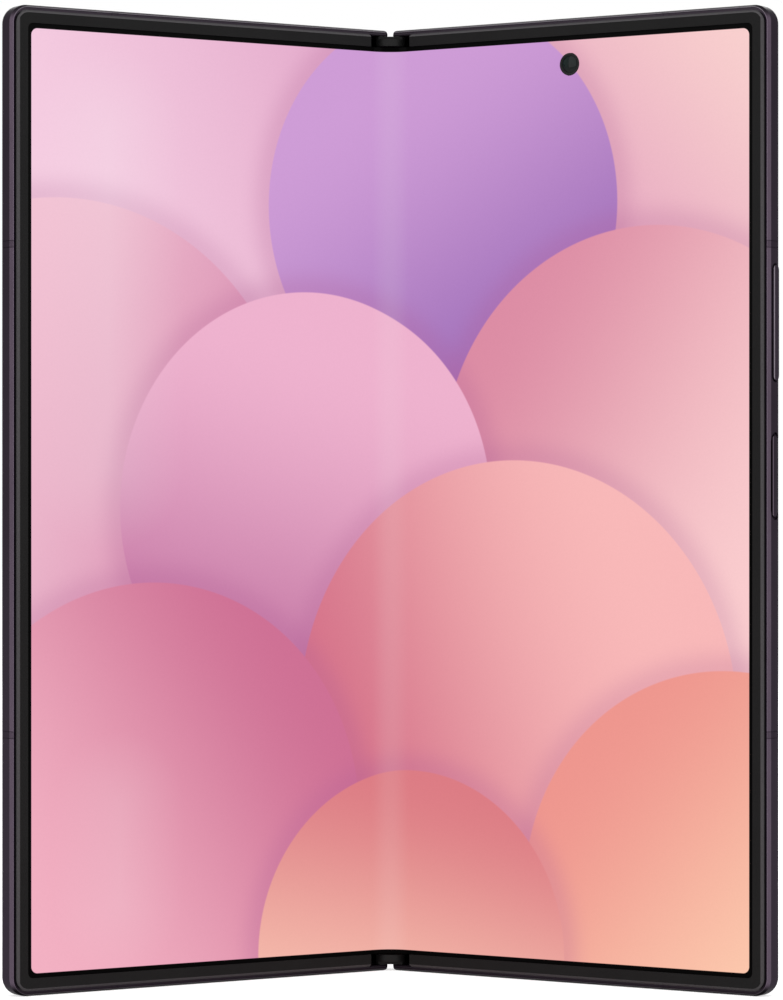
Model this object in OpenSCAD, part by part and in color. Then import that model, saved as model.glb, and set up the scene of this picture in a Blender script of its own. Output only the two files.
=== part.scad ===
// Book-style foldable smartphone, standing half open on its lower edge.
// Two thin halves turn about a narrow spine and carry one bending inner screen.
// Millimetres. +Z runs up the hinge, the inner screen faces -Y, the origin is
// the middle of the footprint on the table.
// Each half is drawn opened flat: x runs out from the fold line, y runs from the
// front face (0) to the back face (body_t), z runs up. The left half is the
// mirror image of the right one.

/* [Body] */
// Height of the phone, along the hinge
body_h = 158.4; // [150:0.1:168]
// Width of one half, from the fold line to its outer side
half_w = 72; // [69:0.1:76]
// Thickness of one half
body_t = 4.2; // [4.15:0.05:5]
// Radius of the four outer corners
corner_r = 3; // [3:0.1:6]
// Turn of each half away from opened flat
fold = 32.5; // [5:0.5:80]

/* [Frame] */
// Width of the flat lip round the front
lip_w = 0.4; // [0.3:0.05:0.7]
// Width of the chamfer on the lip, seen from the front
chamfer_w = 0.32; // [0.2:0.02:0.45]
// Depth of the chamfer down the side
chamfer_d = 0.7; // [0.4:0.05:0.9]
// Radius of the back edge
back_r = 1.3; // [0.8:0.1:1.5]
// Width of the frame's wall
wall_w = 2.4; // [2.35:0.05:3]
// Thickness of the web behind the screen
web_t = 0.5; // [0.4:0.05:0.6]
// Width of the shadow groove beside the bezel
groove_w = 0.4; // [0.2:0.05:0.5]
// Depth of the shadow groove
groove_d = 0.3; // [0.2:0.05:0.4]
// Thickness of the skirt that hides the spine
skirt_t = 0.45; // [0.4:0.05:0.6]
// Gap from the fold line to the skirt's edge, opened flat
skirt_gap = 0.15; // [0.1:0.05:0.3]
// Thickness of the end walls that close over the spine
end_wall = 0.9; // [0.7:0.05:1]
// Gap from the fold line to an end wall, opened flat
end_gap = 0.47; // [0.35:0.01:0.6]
// Width of the plastic antenna breaks
break_w = 1.2; // [0.8:0.1:1.6]
// Height of the lower antenna break
break_low = 41.8; // [34:0.1:46]
// Height of the upper antenna break
break_high = 120.1; // [119:0.1:128]
// Distance of the top and bottom antenna breaks from the outer side
break_x = 18.8; // [18:0.1:19.4]

/* [Screen] */
// Thickness of the bending screen
screen_t = 0.6; // [0.5:0.05:0.6]
// Depth of the screen below the frame's front
screen_down = 0.15; // [0.1:0.05:0.2]
// Thickness of the metal plate behind the screen
plate_t = 0.2; // [0.15:0.05:0.25]
// Width of the raised bezel
bezel_w = 2.1; // [1.9:0.1:2.4]
// Height of the bezel in front of the frame
bezel_up = 0.2; // [0.1:0.05:0.22]
// Bevel round the outside of the bezel
bezel_bevel = 0.45; // [0.2:0.05:0.5]
// Overlap of the bezel on the screen
bezel_lap = 0.7; // [0.4:0.1:0.8]
// Distance from the fold line to where the screen is free to bend
free_x = 3.7; // [3.4:0.1:4.1]

/* [Hinge] */
// Distance of each fold axis from the fold line
axis_x = 1.4; // [1.3:0.05:1.5]
// Gap between the two frames when shut
shut_gap = 0.5; // [0.48:0.02:0.6]
// Clearance between the spine and the skirts
spine_gap = 0.1; // [0.08:0.02:0.14]
// Wall of the spine
spine_t = 0.4; // [0.3:0.02:0.42]
// Clearance between the spine's ends and the end walls
spine_end_gap = 0.1; // [0.05:0.05:0.4]
// Distance of each hinge unit from the phone's end
unit_inset = 17; // [14:0.5:20]
// Inner radius of the curved rails
rail_in = 1.25; // [1.2:0.05:1.3]
// Thickness of the curved rails
rail_t = 0.5; // [0.4:0.05:0.55]
// Length of the curved rails along the hinge
rail_len = 7; // [5:0.5:7.5]
// Running clearance of rails, gears and arms
run = 0.03; // [0.02:0.01:0.04]
// Thickness of a rail's neck, where it leaves the spine
neck_t = 0.4; // [0.3:0.05:0.42]
// Distance between gear centres
gear_pitch = 1.3; // [1.26:0.02:1.32]
// Teeth on each gear
gear_teeth = 10; // [8:2:12]
// Width of the gears
gear_len = 2.6; // [2:0.2:3]
// Radius of the gear pins
pin_r = 0.32; // [0.25:0.01:0.34]
// Thickness of a sync arm
arm_t = 0.45; // [0.35:0.05:0.45]
// Width of a sync arm
arm_len = 3.6; // [3:0.2:4]

/* [Covers] */
// Thickness of the outer glasses
glass_t = 0.5; // [0.4:0.05:0.5]
// Width of the metal border round the outer glasses
glass_edge = 1.6; // [1.5:0.05:1.8]
// Fitting gap round glasses, keys and trim
fit = 0.05; // [0.03:0.01:0.06]

/* [Cameras] */
// Distance of the camera island's middle from the outer side
island_x = 14; // [13.5:0.5:15]
// Distance of the camera island's middle below the top
island_z = 30.9; // [28.4:0.5:32.4]
// Width of the camera island
island_w = 17; // [15:0.5:17]
// Distance between the rear lenses
lens_pitch = 15.5; // [13.5:0.5:15.5]
// Height of the camera island above the glass
island_up = 1.8; // [1:0.1:2.2]
// Radius of the rear lens rings
lens_r = 6; // [5:0.1:6.2]
// Radius of the hole for the inner camera
punch_r = 1.9; // [1.6:0.1:2.2]
// Distance of the inner camera from the fold line
punch_x = 35.2; // [32:0.1:38]
// Distance of the inner camera below the top
punch_down = 7.6; // [7.2:0.1:8]

/* [Keys and ports] */
// Length of the volume key
volume_len = 18.5; // [16:0.5:20]
// Height of the volume key's middle
volume_z = 107.6; // [106:0.1:108]
// Length of the power key
power_len = 13; // [11:0.2:14]
// Height of the power key's middle
power_z = 83.1; // [82:0.1:85]
// Width of both keys
key_w = 1.8; // [1.4:0.1:1.8]
// Distance from the front face to the keys' middle
key_y = 2.2; // [2.1:0.05:2.3]
// Height of the volume key above the side
volume_up = 0.2; // [0.2:0.05:0.6]
// Depth of the power key's seat in the side
power_down = 0.25; // [0.15:0.05:0.35]
// Width of the charging port's opening
port_w = 8.34; // [8.34:0.02:8.5]
// Height of the charging port's opening
port_h = 2.46; // [2.4:0.02:2.48]
// Distance of the charging port from the fold line
port_x = 37; // [34:0.5:40]
// Width of the card tray
tray_w = 12.6; // [12:0.1:13]
// Length of the card tray
tray_len = 22; // [18:0.5:24]
// Distance of the card tray from the fold line
tray_x = 21; // [20:0.5:24]

/* [Inside] */
// Thickness of the circuit boards
board_t = 0.7; // [0.5:0.05:0.8]
// Height of the right battery's lower edge
right_cell_z = 36; // [34:0.5:38]
// Height of the right battery
right_cell_h = 60; // [52:1:62]
// Height of the left battery's lower edge
left_cell_z = 20; // [14:0.5:22]
// Height of the left battery
left_cell_h = 78; // [70:1:79]

/* [Hidden] */
$fn = 64;
tooth_steps = 4;                       // points on each tooth flank
// Layers, from the front face to the back
screen_back = screen_down + screen_t;
web_y = screen_back + plate_t;         // front of the web
web_back = web_y + web_t;
glass_y = body_t - glass_t;            // inner face of the outer glasses
skirt_y = body_t - skirt_t;
air = 0.05;                            // gap between stacked inner pieces
bay_front = web_back + air;
bay_back = glass_y - air;
// Fold axes and spine
axis_y = axis_x - shut_gap / 2;
spine_r = skirt_y - axis_y - spine_gap;
spine_in = spine_r - spine_t;
spine_edge = axis_y + 0.3;             // the spine's wall starts behind this plane
spine_z = end_wall + spine_end_gap;
block_r = spine_in - 0.05;
core_x = axis_x + spine_r + 0.3;       // each half is solid from here outwards
end_r = axis_x - end_gap;
end_corner = 0.7;
cap_x = 2.42;                          // half of an end cap's width
cap_r = 2.9;                           // radius of its rounded front
cap_gap = 0.3;                         // from the cap to the screen
cap_step = 0.5;                        // height of the recess beside the end wall
cap_recess = 0.8;
// Bezel and screen outline, as distances in from the phone's outline
bezel_s = lip_w + groove_w;
bezel_in = bezel_s + bezel_w;
seat_s = bezel_in - bezel_lap;
screen_s = seat_s + 0.1;
hinge_s = bezel_in + 0.05;             // the screen is shorter beside the spine
step_x = core_x + 0.8;                 // where the screen reaches its full height
bezel_x = core_x + 0.2;                // the bezel's end, beside the spine
bezel_end_r = 0.35;
bezel_in_r = 0.9;                      // round inner corner of the bezel
plate_x = axis_x + 0.25;
// Two planes at depth d, one in each half, meet on the fold line: meet_y is their
// depth there and meet_x the same point measured along a half. A strip that leaves
// them at free_x bends at bend_r(d), about a centre at bend_c(d) in front of it.
function meet_y(d) = axis_y + (d - axis_y) / cos(fold) + axis_x * tan(fold);
function meet_x(d) = axis_x - (axis_x + (d - axis_y) * sin(fold)) / cos(fold);
function bend_r(d) = (free_x - meet_x(d)) / tan(fold);
function bend_c(d) = meet_y(d) - bend_r(d) / cos(fold);
centre_y = max(screen_back, bend_c(screen_down) + bend_r(screen_down) + screen_t) + air;
block_front = centre_y + plate_t + 0.02;
// Hinge units
unit_len = 24;
base_x = core_x + 0.1;
base_end = base_x + 5.7;
screw_x = base_x + 2.9;                // screws of the rotators
screw_r = 0.45;
head_r = 0.8;
head_h = 0.35;
block_screw_r = 0.28;
block_head_r = 0.45;
pocket_end = base_end + 0.3;
pocket_y = glass_y - 0.5;              // floor of the hinge unit's pocket
strip_end = pocket_end + 0.5;
rail_out = rail_in + rail_t;
rail_end = 115;                        // angle of a rail's hidden end
rail_z = 0.3;
cheek = 0.8;                           // end walls of the rail block
channel = rail_len + 2 * rail_z;       // room for a rail between the cheeks
gear_z = channel + cheek + 0.6;
arm_z = gear_z + gear_len + 0.2;
stay_z = arm_z + arm_len + 0.2;
stay_t = 1;
gear_m = gear_pitch / gear_teeth;
gear_y = axis_y + spine_in - gear_pitch / 2 - gear_m - 0.2;
arm_x = 1.5 * gear_pitch;
hub_r = gear_pitch / 2 - 1.25 * gear_m; // inside the roots of the teeth
arm_y = gear_y - 0.7;
arm_reach = base_x + 4;
slot_y = arm_y + arm_t + 0.2;
spring_h = 0.8;
spring_n = 5;
spring_r = 0.78;
stack_len = spring_n * (spring_h + 0.2) + 0.3;
// Places that follow the outer side and the top
rear_x = half_w - island_x;            // middle of the rear cameras
rear_z = body_h - island_z;
break_at = half_w - break_x;
// Inner bay
bay_x = strip_end + 0.6;
bay_end = half_w - wall_w - 0.4;
cell_x = bay_x + 0.4;
cell_end = bay_end - 2;
coil_t = 0.2;
coil_r = 22;
coil_w = 1.1;                          // width of one turn
coil_gap = 1.5;                        // distance between turns
coil_turns = 8;
panel_t = 0.45;
flex_t = 0.1;                          // ribbon that joins the two boards
flex_h = 8;
board_y = bay_front + flex_t + air;
board_back = board_y + board_t;
board_low = right_cell_z + right_cell_h + 3;
board_high = body_h - wall_w - 2;
board_end = rear_x - island_w / 2 - 0.6;
left_board_z = left_cell_z + left_cell_h + 2;
left_board_h = 20;
chip_w = 8;
chip_pitch = 16;
shield_w = 15.5;
shield_h = 20;
shield_gap = 1.5;
shield_rim = 2;
flex_z = max(board_low, left_board_z) + 4;
// Cameras and keys
island_h = 2 * lens_pitch + island_w;
ring_w = 0.9;
ring_up = 0.5;
flash_r = 1.6;
flash_x = rear_x - island_w / 2 - 4.5;
flash_z = rear_z + lens_pitch;
punch_z = body_h - punch_down;
cover_cam_x = (strip_end + half_w) / 2 - 2.2;
cover_cam_z = body_h - 8;
cover_cam_r = 1.9;
port_y = web_y + 0.03 + port_h / 2 + 0.12;
port_wall = 0.12;
port_len = 7.2;
tray_y = web_back + 0.45;
tray_t = 0.7;
tray_stop = body_h - tray_len - 2.4;
face_w = tray_w + 2.6;                 // outer face of the tray
face_h = 1.5;
key_in = 1.3;                          // depth of a key below the side
key_seat = key_in + 0.35;
key_travel = 0.2;
scoop_w = 3.1;                         // notch round the power key
scoop_gap = 0.5;
post_r = 0.5;
post_gap = 6;                          // from the volume key's middle to its posts
post_tip = half_w - wall_w + 0.2;
dome_tip = post_tip - key_travel - air;
key_flex_x = half_w - wall_w - 0.4;
ear_gap = 4.8;                         // from the cover camera to the earpiece's holes
speaker_in = 12;                       // from the outer side to the loudspeaker's holes
speaker_gap = 11;                      // from the port's middle to the loudspeaker
mic_gap = 11;                          // from the holes, or the port, to a microphone
ear_x = cover_cam_x + ear_gap;         // middles of the two rows of sound holes
speaker_x = half_w - speaker_in;
sound_r = 0.5;
sound_gap = 2;
// Footprint, which sets the origin
foot_front = axis_y - (half_w - chamfer_w - axis_x) * sin(fold) - axis_y * cos(fold);
foot_back = axis_y + (axis_x - skirt_gap) * sin(fold) + (body_t - axis_y) * cos(fold);
origin_y = (foot_front + foot_back) / 2;
// Finishes
metal = [0.26, 0.23, 0.28];
steel = [0.62, 0.62, 0.64];
black = [0.06, 0.06, 0.065];
grey = [0.17, 0.17, 0.17];

// ---------------------------------------------------------------- placing

module on_table() translate([0, -origin_y, 0]) children();

module turned() translate([axis_x, axis_y, 0]) rotate([0, 0, -fold])
    translate([-axis_x, -axis_y, 0]) children();

// One half at its rest angle: side is 1 for the right and -1 for the left
module half(side) on_table() mirror([side < 0 ? 1 : 0, 0, 0]) turned() children();

// A hinge unit, drawn upwards from z = 0: the upper one is the lower one's mirror
module unit(upper) {
    if (upper) translate([0, 0, body_h - unit_inset]) mirror([0, 0, 1]) children();
    else translate([0, 0, unit_inset]) children();
}

// ---------------------------------------------------------------- shapes

module box(x, y, z) translate([x[0], y[0], z[0]])
    cube([x[1] - x[0], y[1] - y[0], z[1] - z[0]]);

module corner_notch(r) difference() {
    translate([-1, -1]) square(r + 1);
    translate([r, r]) circle(r);
}

// Rectangle with its corners rounded by outer_r away from the fold and inner_r beside it
module outline(x, z, outer_r, inner_r) difference() {
    translate([x[0], z[0]]) square([x[1] - x[0], z[1] - z[0]]);
    translate([x[1], z[0]]) mirror([1, 0]) corner_notch(outer_r);
    translate([x[1], z[1]]) rotate(180) corner_notch(outer_r);
    translate([x[0], z[0]]) corner_notch(inner_r);
    translate([x[0], z[1]]) mirror([0, 1]) corner_notch(inner_r);
}

// Extrudes an x-z outline from depth y[0] to y[1]
module slab(y) translate([0, y[1], 0]) rotate([90, 0, 0])
    linear_extrude(y[1] - y[0]) children();

module plate(x, y, z, outer_r = 0.5, inner_r = 0.5) slab(y) outline(x, z, outer_r, inner_r);

// Cylinder along y, from depth y[0] to y[1]
module rod_y(x, z, r, y) translate([x, y[0], z]) rotate([-90, 0, 0])
    cylinder(r = r, h = y[1] - y[0]);

// Cylinder along x, from x[0] to x[1]
module rod_x(x, y, z, r) translate([x[0], y, z]) rotate([0, 90, 0])
    cylinder(r = r, h = x[1] - x[0]);

// Bar with round ends along z, from x[0] to x[1]
module pill_x(x, y, z, w, len) {
    for (end = [-1, 1]) rod_x(x, y, z + end * (len - w) / 2, w / 2);
    box(x, [y - w / 2, y + w / 2], [z - (len - w) / 2, z + (len - w) / 2]);
}

// Upright pill on the back, w wide and h high
module pill_y(x, z, w, h, y) {
    for (end = [-1, 1]) rod_y(x, z + end * (h - w) / 2, w / 2, y);
    box([x - w / 2, x + w / 2], y, [z - (h - w) / 2, z + (h - w) / 2]);
}

// Slot with round ends along x, cut up from z[0] to z[1]
module slot_z(x, y, w, h, z) {
    for (end = [-1, 1]) translate([x + end * (w - h) / 2, y, z[0]])
        cylinder(d = h, h = z[1] - z[0]);
    box([x - (w - h) / 2, x + (w - h) / 2], [y - h / 2, y + h / 2], z);
}

// A section turned about a corner's centre. Where it is deeper than the radius, it
// ends at the centre, and the straight parts meet in a square inner corner.
module turned_corner(r) rotate_extrude(angle = 90) intersection() {
    translate([r, 0]) mirror([1, 0]) children();
    translate([0, -body_t]) square([r + 1, 3 * body_t]);
}

// Sweeps a section along the top, outer side and bottom of a half's outline.
// The section's first coordinate runs in from the outline, its second is the depth.
module swept(x0, inset, r) {
    x1 = half_w - inset;
    z = [inset, body_h - inset];
    translate([x1, 0, z[0] + r]) linear_extrude(z[1] - z[0] - 2 * r) mirror([1, 0]) children();
    translate([x0, 0, z[1]]) rotate([0, 90, 0]) linear_extrude(x1 - r - x0) children();
    translate([x1 - r, 0, z[0]]) rotate([0, -90, 0]) linear_extrude(x1 - r - x0) children();
    translate([x1 - r, 0, z[0] + r]) rotate([-90, 0, 0]) turned_corner(r) children();
    translate([x1 - r, 0, z[1] - r]) rotate([-90, 0, 0]) rotate([0, 0, -90])
        turned_corner(r) children();
}

// The same at the bottom and, mirrored, at the top
module at_ends() for (top = [0, 1]) translate([0, 0, top * body_h]) mirror([0, 0, top]) children();

// ---------------------------------------------------------------- frame

// Solid outer edge of a half: chamfered lip in front, round edge behind
module edge_section(depth) difference() {
    polygon([[chamfer_w, 0], [depth, 0], [depth, body_t], [0, body_t], [0, chamfer_d]]);
    translate([0, body_t]) mirror([0, 1]) corner_notch(back_r);
}

// Hollow for the groove, the bezel's seat and the screen, and for the outer glass
module seats_section(depth) {
    translate([lip_w, -1]) square([depth, groove_d + 1]);
    translate([bezel_s, -1]) square([depth, screen_back + 1]);
    translate([seat_s, -1]) square([depth, web_y + 1]);
    translate([glass_edge, glass_y]) square([depth, glass_t + 1]);
}

module wall_section() difference() {
    edge_section(wall_w);
    seats_section(wall_w);
}

// The thin end wall and skirt beside the spine
module end_section() difference() {
    intersection() {
        edge_section(corner_r);
        union() {
            square([end_wall, body_t]);
            translate([0, skirt_y]) square([corner_r, skirt_t]);
        }
    }
    translate([lip_w, -1]) square([corner_r, groove_d + 1]);
    translate([bezel_s, -1]) square([corner_r, screen_back + 1]);
}

module end_walls() difference() {
    union() {
        translate([skirt_gap, 0, body_h]) rotate([0, 90, 0])
            linear_extrude(core_x - skirt_gap) end_section();
        translate([core_x, 0, 0]) rotate([0, -90, 0])
            linear_extrude(core_x - skirt_gap) end_section();
        box([skirt_gap, core_x], [skirt_y, body_t], [corner_r, body_h - corner_r]);
    }
    // Room for the other half's end wall as the phone shuts
    difference() {
        box([-1, axis_x], [-1, axis_y], [-1, body_h + 1]);
        translate([axis_x, axis_y, -2]) cylinder(r = end_r, h = body_h + 4);
    }
    for (z = [[-1, end_wall + 0.01], [body_h - end_wall - 0.01, body_h + 1]])
        box([-1, end_gap], [axis_y - 0.01, skirt_y], z);
    // Corners at the fold, rounded as seen from the front at the rest angle
    for (top = [0, 1]) translate([axis_x, axis_y, top * body_h]) mirror([0, 0, top])
        rotate([0, 0, fold]) slab([-4, 2]) translate([-end_r, 0]) corner_notch(end_corner);
}

module frame_solid() {
    swept(core_x, 0, corner_r) wall_section();
    box([core_x, half_w - wall_w + 0.1], [web_y, web_back], [wall_w - 0.1, body_h - wall_w + 0.1]);
    box([core_x, strip_end], [web_y, glass_y], [wall_w - 0.1, body_h - wall_w + 0.1]);
    box([core_x, core_x + 1.4], [glass_y - 0.1, body_t], [wall_w, body_h - wall_w]);
    for (z = [[glass_edge, wall_w + 0.1], [body_h - wall_w - 0.1, body_h - glass_edge]])
        box([core_x, core_x + 1.4], [glass_y - 0.1, body_t], z);
    end_walls();
}

// Prisms that cut the antenna breaks out of the frame
module break_slots() {
    depth = 1.2;
    for (z = [break_low, break_high])
        box([half_w - depth, half_w + 1], [-1, body_t + 1], [z - break_w / 2, z + break_w / 2]);
    for (z = [[-1, depth], [body_h - depth, body_h + 1]])
        box([break_at - break_w / 2, break_at + break_w / 2], [-1, body_t + 1], z);
}

module unit_pockets() for (upper = [false, true]) unit(upper)
    box([core_x - 0.1, pocket_end], [0, pocket_y], [-1.4, unit_len + 1]);

module flex_slot() box([core_x - 0.1, bay_x], [bay_front - 0.03, bay_front + flex_t + 0.05],
    [flex_z - 0.3, flex_z + flex_h + 0.3]);

// Screws that hold the rotators: one at each end of every base
function screw_spots() = [1.6, gear_z + 0.4];

module screw_holes(r) for (upper = [false, true], z = screw_spots())
    unit(upper) rod_y(screw_x, z, r, [pocket_y - 1, pocket_y + 0.3]);

module frame_core() difference() {
    frame_solid();
    unit_pockets();
    flex_slot();
    break_slots();
    screw_holes(screw_r + run);
}

// Row of n holes through an end wall, for sound
module sound_holes(x, n, z) for (i = [0:n - 1])
    translate([x + sound_gap * (i - (n - 1) / 2), key_y, z[0]])
        cylinder(r = sound_r, h = z[1] - z[0]);

module left_frame() color(metal) half(-1) difference() {
    frame_core();
    sound_holes(ear_x, 5, [body_h - wall_w - 1, body_h + 1]);
    sound_holes(ear_x - mic_gap, 1, [body_h - wall_w - 1, body_h + 1]);
    tray_slot();
}

module right_frame() color(metal) half(1) difference() {
    frame_core();
    sound_holes(speaker_x, 5, [-1, wall_w + 1]);
    sound_holes(port_x - mic_gap, 1, [-1, wall_w + 1]);
    port_slot();
    key_slots();
    rod_y(punch_x, punch_z, punch_r + 0.9, [web_y - 1, web_back + 1]);
}

module antenna_breaks(side) color(metal * 0.6) half(side) intersection() {
    swept(core_x, 0, corner_r) wall_section();
    break_slots();
}

// ---------------------------------------------------------------- screen and bezel

module bezel_section() {
    low = seat_s - bezel_s;
    difference() {
        translate([0, -bezel_up]) square([bezel_w, screen_back + bezel_up]);
        translate([low, screen_down]) square([bezel_w, screen_t + 1]);
        polygon([[-1, -bezel_up - 1], [bezel_bevel + 1, -bezel_up - 1],
            [-1, bezel_bevel - bezel_up + 1]]);
    }
}

module bezel(side) color(grey) half(side) difference() {
    union() {
        swept(bezel_x, bezel_s, corner_r - bezel_s) bezel_section();
        at_ends() slab([-bezel_up, screen_down]) translate([half_w - bezel_in, bezel_in])
            mirror([1, 0]) corner_notch(bezel_in_r);
    }
    at_ends() slab([-1, screen_back + 1]) translate([bezel_x, bezel_s]) corner_notch(bezel_end_r);
}

module screen_outline(x0) {
    x1 = half_w - screen_s;
    outline([x0, x1], [hinge_s, body_h - hinge_s], 0.4, 0.05);
    outline([step_x, x1], [screen_s, body_h - screen_s], max(0.3, corner_r - screen_s), 0.05);
}

module screen(side) color([0.9, 0.7, 0.78]) half(side) difference() {
    slab([screen_down, screen_back]) screen_outline(free_x);
    if (side > 0) rod_y(punch_x, punch_z, punch_r, [-1, 2]);
}

module screen_plate(side) color(steel) half(side) difference() {
    slab([screen_back, web_y]) screen_outline(plate_x);
    if (side > 0) rod_y(punch_x, punch_z, punch_r + 0.9, [-1, 2]);
}

// Bent strip of thickness t, whose front leaves the halves' planes at depth d
module bend(d, t) translate([0, bend_c(d)]) intersection() {
    difference() {
        circle(bend_r(d) + t);
        circle(bend_r(d));
    }
    reach = 2 * (bend_r(d) + t) / cos(fold);
    polygon([[0, 0], [-reach * sin(fold), reach * cos(fold)], [reach * sin(fold), reach * cos(fold)]]);
}

// The part of the screen that bends, between the two flat parts
module screen_fold() color([0.9, 0.7, 0.78]) on_table()
    translate([0, 0, hinge_s]) linear_extrude(body_h - 2 * hinge_s) bend(screen_down, screen_t);

// Flexible ribbon through the spine, from board to board
module hinge_flex() color([0.75, 0.5, 0.15]) {
    on_table() translate([0, 0, flex_z]) linear_extrude(flex_h) bend(bay_front, flex_t);
    for (side = [-1, 1]) half(side)
        box([free_x, cell_x + 3], [bay_front, bay_front + flex_t], [flex_z, flex_z + flex_h]);
}

// ---------------------------------------------------------------- spine

// Convex spine outline: an arc about each fold axis and a flat back between them
module spine_outline(r) {
    for (side = [-1, 1]) translate([side * axis_x, axis_y]) circle(r);
    translate([-axis_x, axis_y]) square([2 * axis_x, r]);
}

module behind(y) intersection() {
    children();
    translate([-10, y]) square([20, 10]);
}

module spine_cover() color(metal) on_table() difference() {
    translate([0, 0, spine_z]) linear_extrude(body_h - 2 * spine_z) behind(spine_edge)
        difference() {
            spine_outline(spine_r);
            spine_outline(spine_in);
        }
    // Notches that let the sync arms out when the phone lies open
    for (upper = [false, true]) unit(upper)
        box([-core_x, core_x], [0, slot_y + 0.05], [arm_z - 0.2, arm_z + arm_len + 0.2]);
    // Notch for the ribbon
    box([-core_x, core_x], [0, bay_front + flex_t + 0.15], [flex_z - 0.5, flex_z + flex_h + 0.5]);
    for (upper = [false, true], z = block_screw_spots()) unit(upper)
        rod_y(0, z, block_screw_r + run, [axis_y, axis_y + spine_r - 0.15]);
}

// End caps: they fill the spine's ends, with a rounded bar in front of the recess
module spine_caps() color(black) on_table() at_ends() difference() {
    translate([0, 0, spine_z]) linear_extrude(hinge_s - cap_gap - spine_z) intersection() {
        translate([-cap_x, -bezel_up]) square([2 * cap_x, body_t]);
        translate([0, cap_r - bezel_up]) circle(cap_r);
        spine_outline(block_r);
    }
    box([-cap_x - 1, cap_x + 1], [-bezel_up - 1, cap_recess - bezel_up], [0, spine_z + cap_step]);
}

function block_screw_spots() = [1.6, rail_len - 1];

module rail_groove() intersection() {
    difference() {
        circle(rail_out + run);
        circle(rail_in - run);
    }
    reach = 4 * rail_out;
    over = rail_end + 7;
    polygon([[0, 0], [reach * cos(-40), reach * sin(-40)], [reach, reach],
        [reach * cos(over), reach * sin(over)]]);
}

// Fixed block of a hinge unit: two curved grooves guide the rotators' rails
module hinge_block(upper) color(steel) on_table() unit(upper) difference() {
    translate([0, 0, -cheek]) linear_extrude(channel + 2 * cheek)
        behind(block_front) spine_outline(block_r);
    // Outside the inner cores, the block starts behind the necks of the rails
    for (side = [-1, 1]) mirror([side < 0 ? 1 : 0, 0, 0]) {
        translate([axis_x, axis_y, -2]) linear_extrude(unit_len) difference() {
            translate([0, -2]) square([4, neck_t + 1.9]);
            circle(rail_in - run);
        }
        translate([axis_x, axis_y, 0]) linear_extrude(channel) rail_groove();
        for (x = [arm_x, arm_x / 3]) translate([x, gear_y, channel])
            cylinder(r = pin_r + 0.01, h = unit_len);
    }
    for (z = block_screw_spots()) {
        rod_y(0, z, block_screw_r + run, [0, 9]);
        rod_y(0, z, block_head_r + 0.05, [0, block_front + 0.3]);
    }
}

module block_screws() color(steel) on_table() for (upper = [false, true], z = block_screw_spots())
    unit(upper) {
        rod_y(0, z, block_screw_r, [block_front + 0.1, axis_y + spine_r - 0.2]);
        rod_y(0, z, block_head_r, [block_front + 0.02, block_front + 0.27]);
    }

// Strip that carries the screen's fold between the two screen plates
module centre_plate() color(steel) on_table()
    for (z = [[hinge_s + 0.2, flex_z - 1], [flex_z + flex_h + 1, body_h - hinge_s - 0.2]])
        box([-plate_x / 2, plate_x / 2], [centre_y, centre_y + plate_t], z);

// Rail, neck and base: one solid that turns with its half
module rotator(side, upper) color(steel) half(side) unit(upper) difference() {
    union() {
        translate([axis_x, axis_y, rail_z]) linear_extrude(rail_len) intersection() {
            difference() {
                circle(rail_out);
                circle(rail_in);
            }
            reach = 4 * rail_out;
            polygon([[0, 0], [0, web_y - axis_y], [reach, web_y - axis_y], [reach, reach],
                [reach * cos(rail_end), reach * sin(rail_end)]]);
        }
        box([axis_x + rail_in + 0.05, base_x + 0.1], [web_y, web_y + neck_t],
            [rail_z, rail_z + rail_len]);
        box([base_x, base_end], [web_y, pocket_y], [-cheek, stay_z]);
    }
    box([0, arm_reach + 0.6], [0, slot_y], [arm_z - 0.15, arm_z + arm_len + 0.15]);
    for (z = screw_spots()) {
        rod_y(screw_x, z, screw_r + run, [0, 9]);
        rod_y(screw_x, z, head_r + run, [0, web_y + head_h + 0.1]);
    }
}

module rotator_screws(side) color(steel) half(side)
    for (upper = [false, true], z = screw_spots()) unit(upper) {
        rod_y(screw_x, z, screw_r, [web_y + 0.1, pocket_y + 0.25]);
        rod_y(screw_x, z, head_r, [web_y + 0.05, web_y + head_h + 0.05]);
    }

// ---------------------------------------------------------------- gears

pressure = 25;                                   // pressure angle of the teeth
function involute(base, a) = [base * (cos(a) + a * PI / 180 * sin(a)),
    base * (sin(a) - a * PI / 180 * cos(a))];
function turn(p, a) = [p[0] * cos(a) - p[1] * sin(a), p[0] * sin(a) + p[1] * cos(a)];
// Angle at which the involute reaches radius r
function roll(base, r) = r <= base ? 0 : sqrt(pow(r / base, 2) - 1) * 180 / PI;
function flank(base, low, high) = [for (i = [0:tooth_steps])
    involute(base, roll(base, low + (high - low) * i / tooth_steps))];

// Spur gear outline with n teeth, thinned a little for backlash
module gear_outline(n) {
    r = n * gear_m / 2;
    base = r * cos(pressure);
    tip = r + 0.8 * gear_m;
    root = r - 1.05 * gear_m;
    at_pitch = involute(base, roll(base, r));
    half_tooth = 90 / n - 2.2;
    back = half_tooth + atan2(at_pitch[1], at_pitch[0]);
    side = [for (p = flank(base, max(base, root), tip)) turn(p, -back)];
    tooth = concat([[root * cos(back), -root * sin(back)]], side,
        [for (i = [tooth_steps:-1:0]) [side[i][0], -side[i][1]]],
        [[root * cos(back), root * sin(back)]]);
    polygon([for (i = [0:n - 1], p = tooth) turn(p, i * 360 / n)]);
}

// Gears stand in a row: left arm, left idler, right idler, right arm.
// Alternate gears are half a tooth round, so that the teeth mesh.
module gear(n, spin) rotate(spin) difference() {
    linear_extrude(gear_len) gear_outline(n);
    translate([0, 0, -1]) cylinder(r = pin_r + run, h = gear_len + 2);
}

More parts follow.
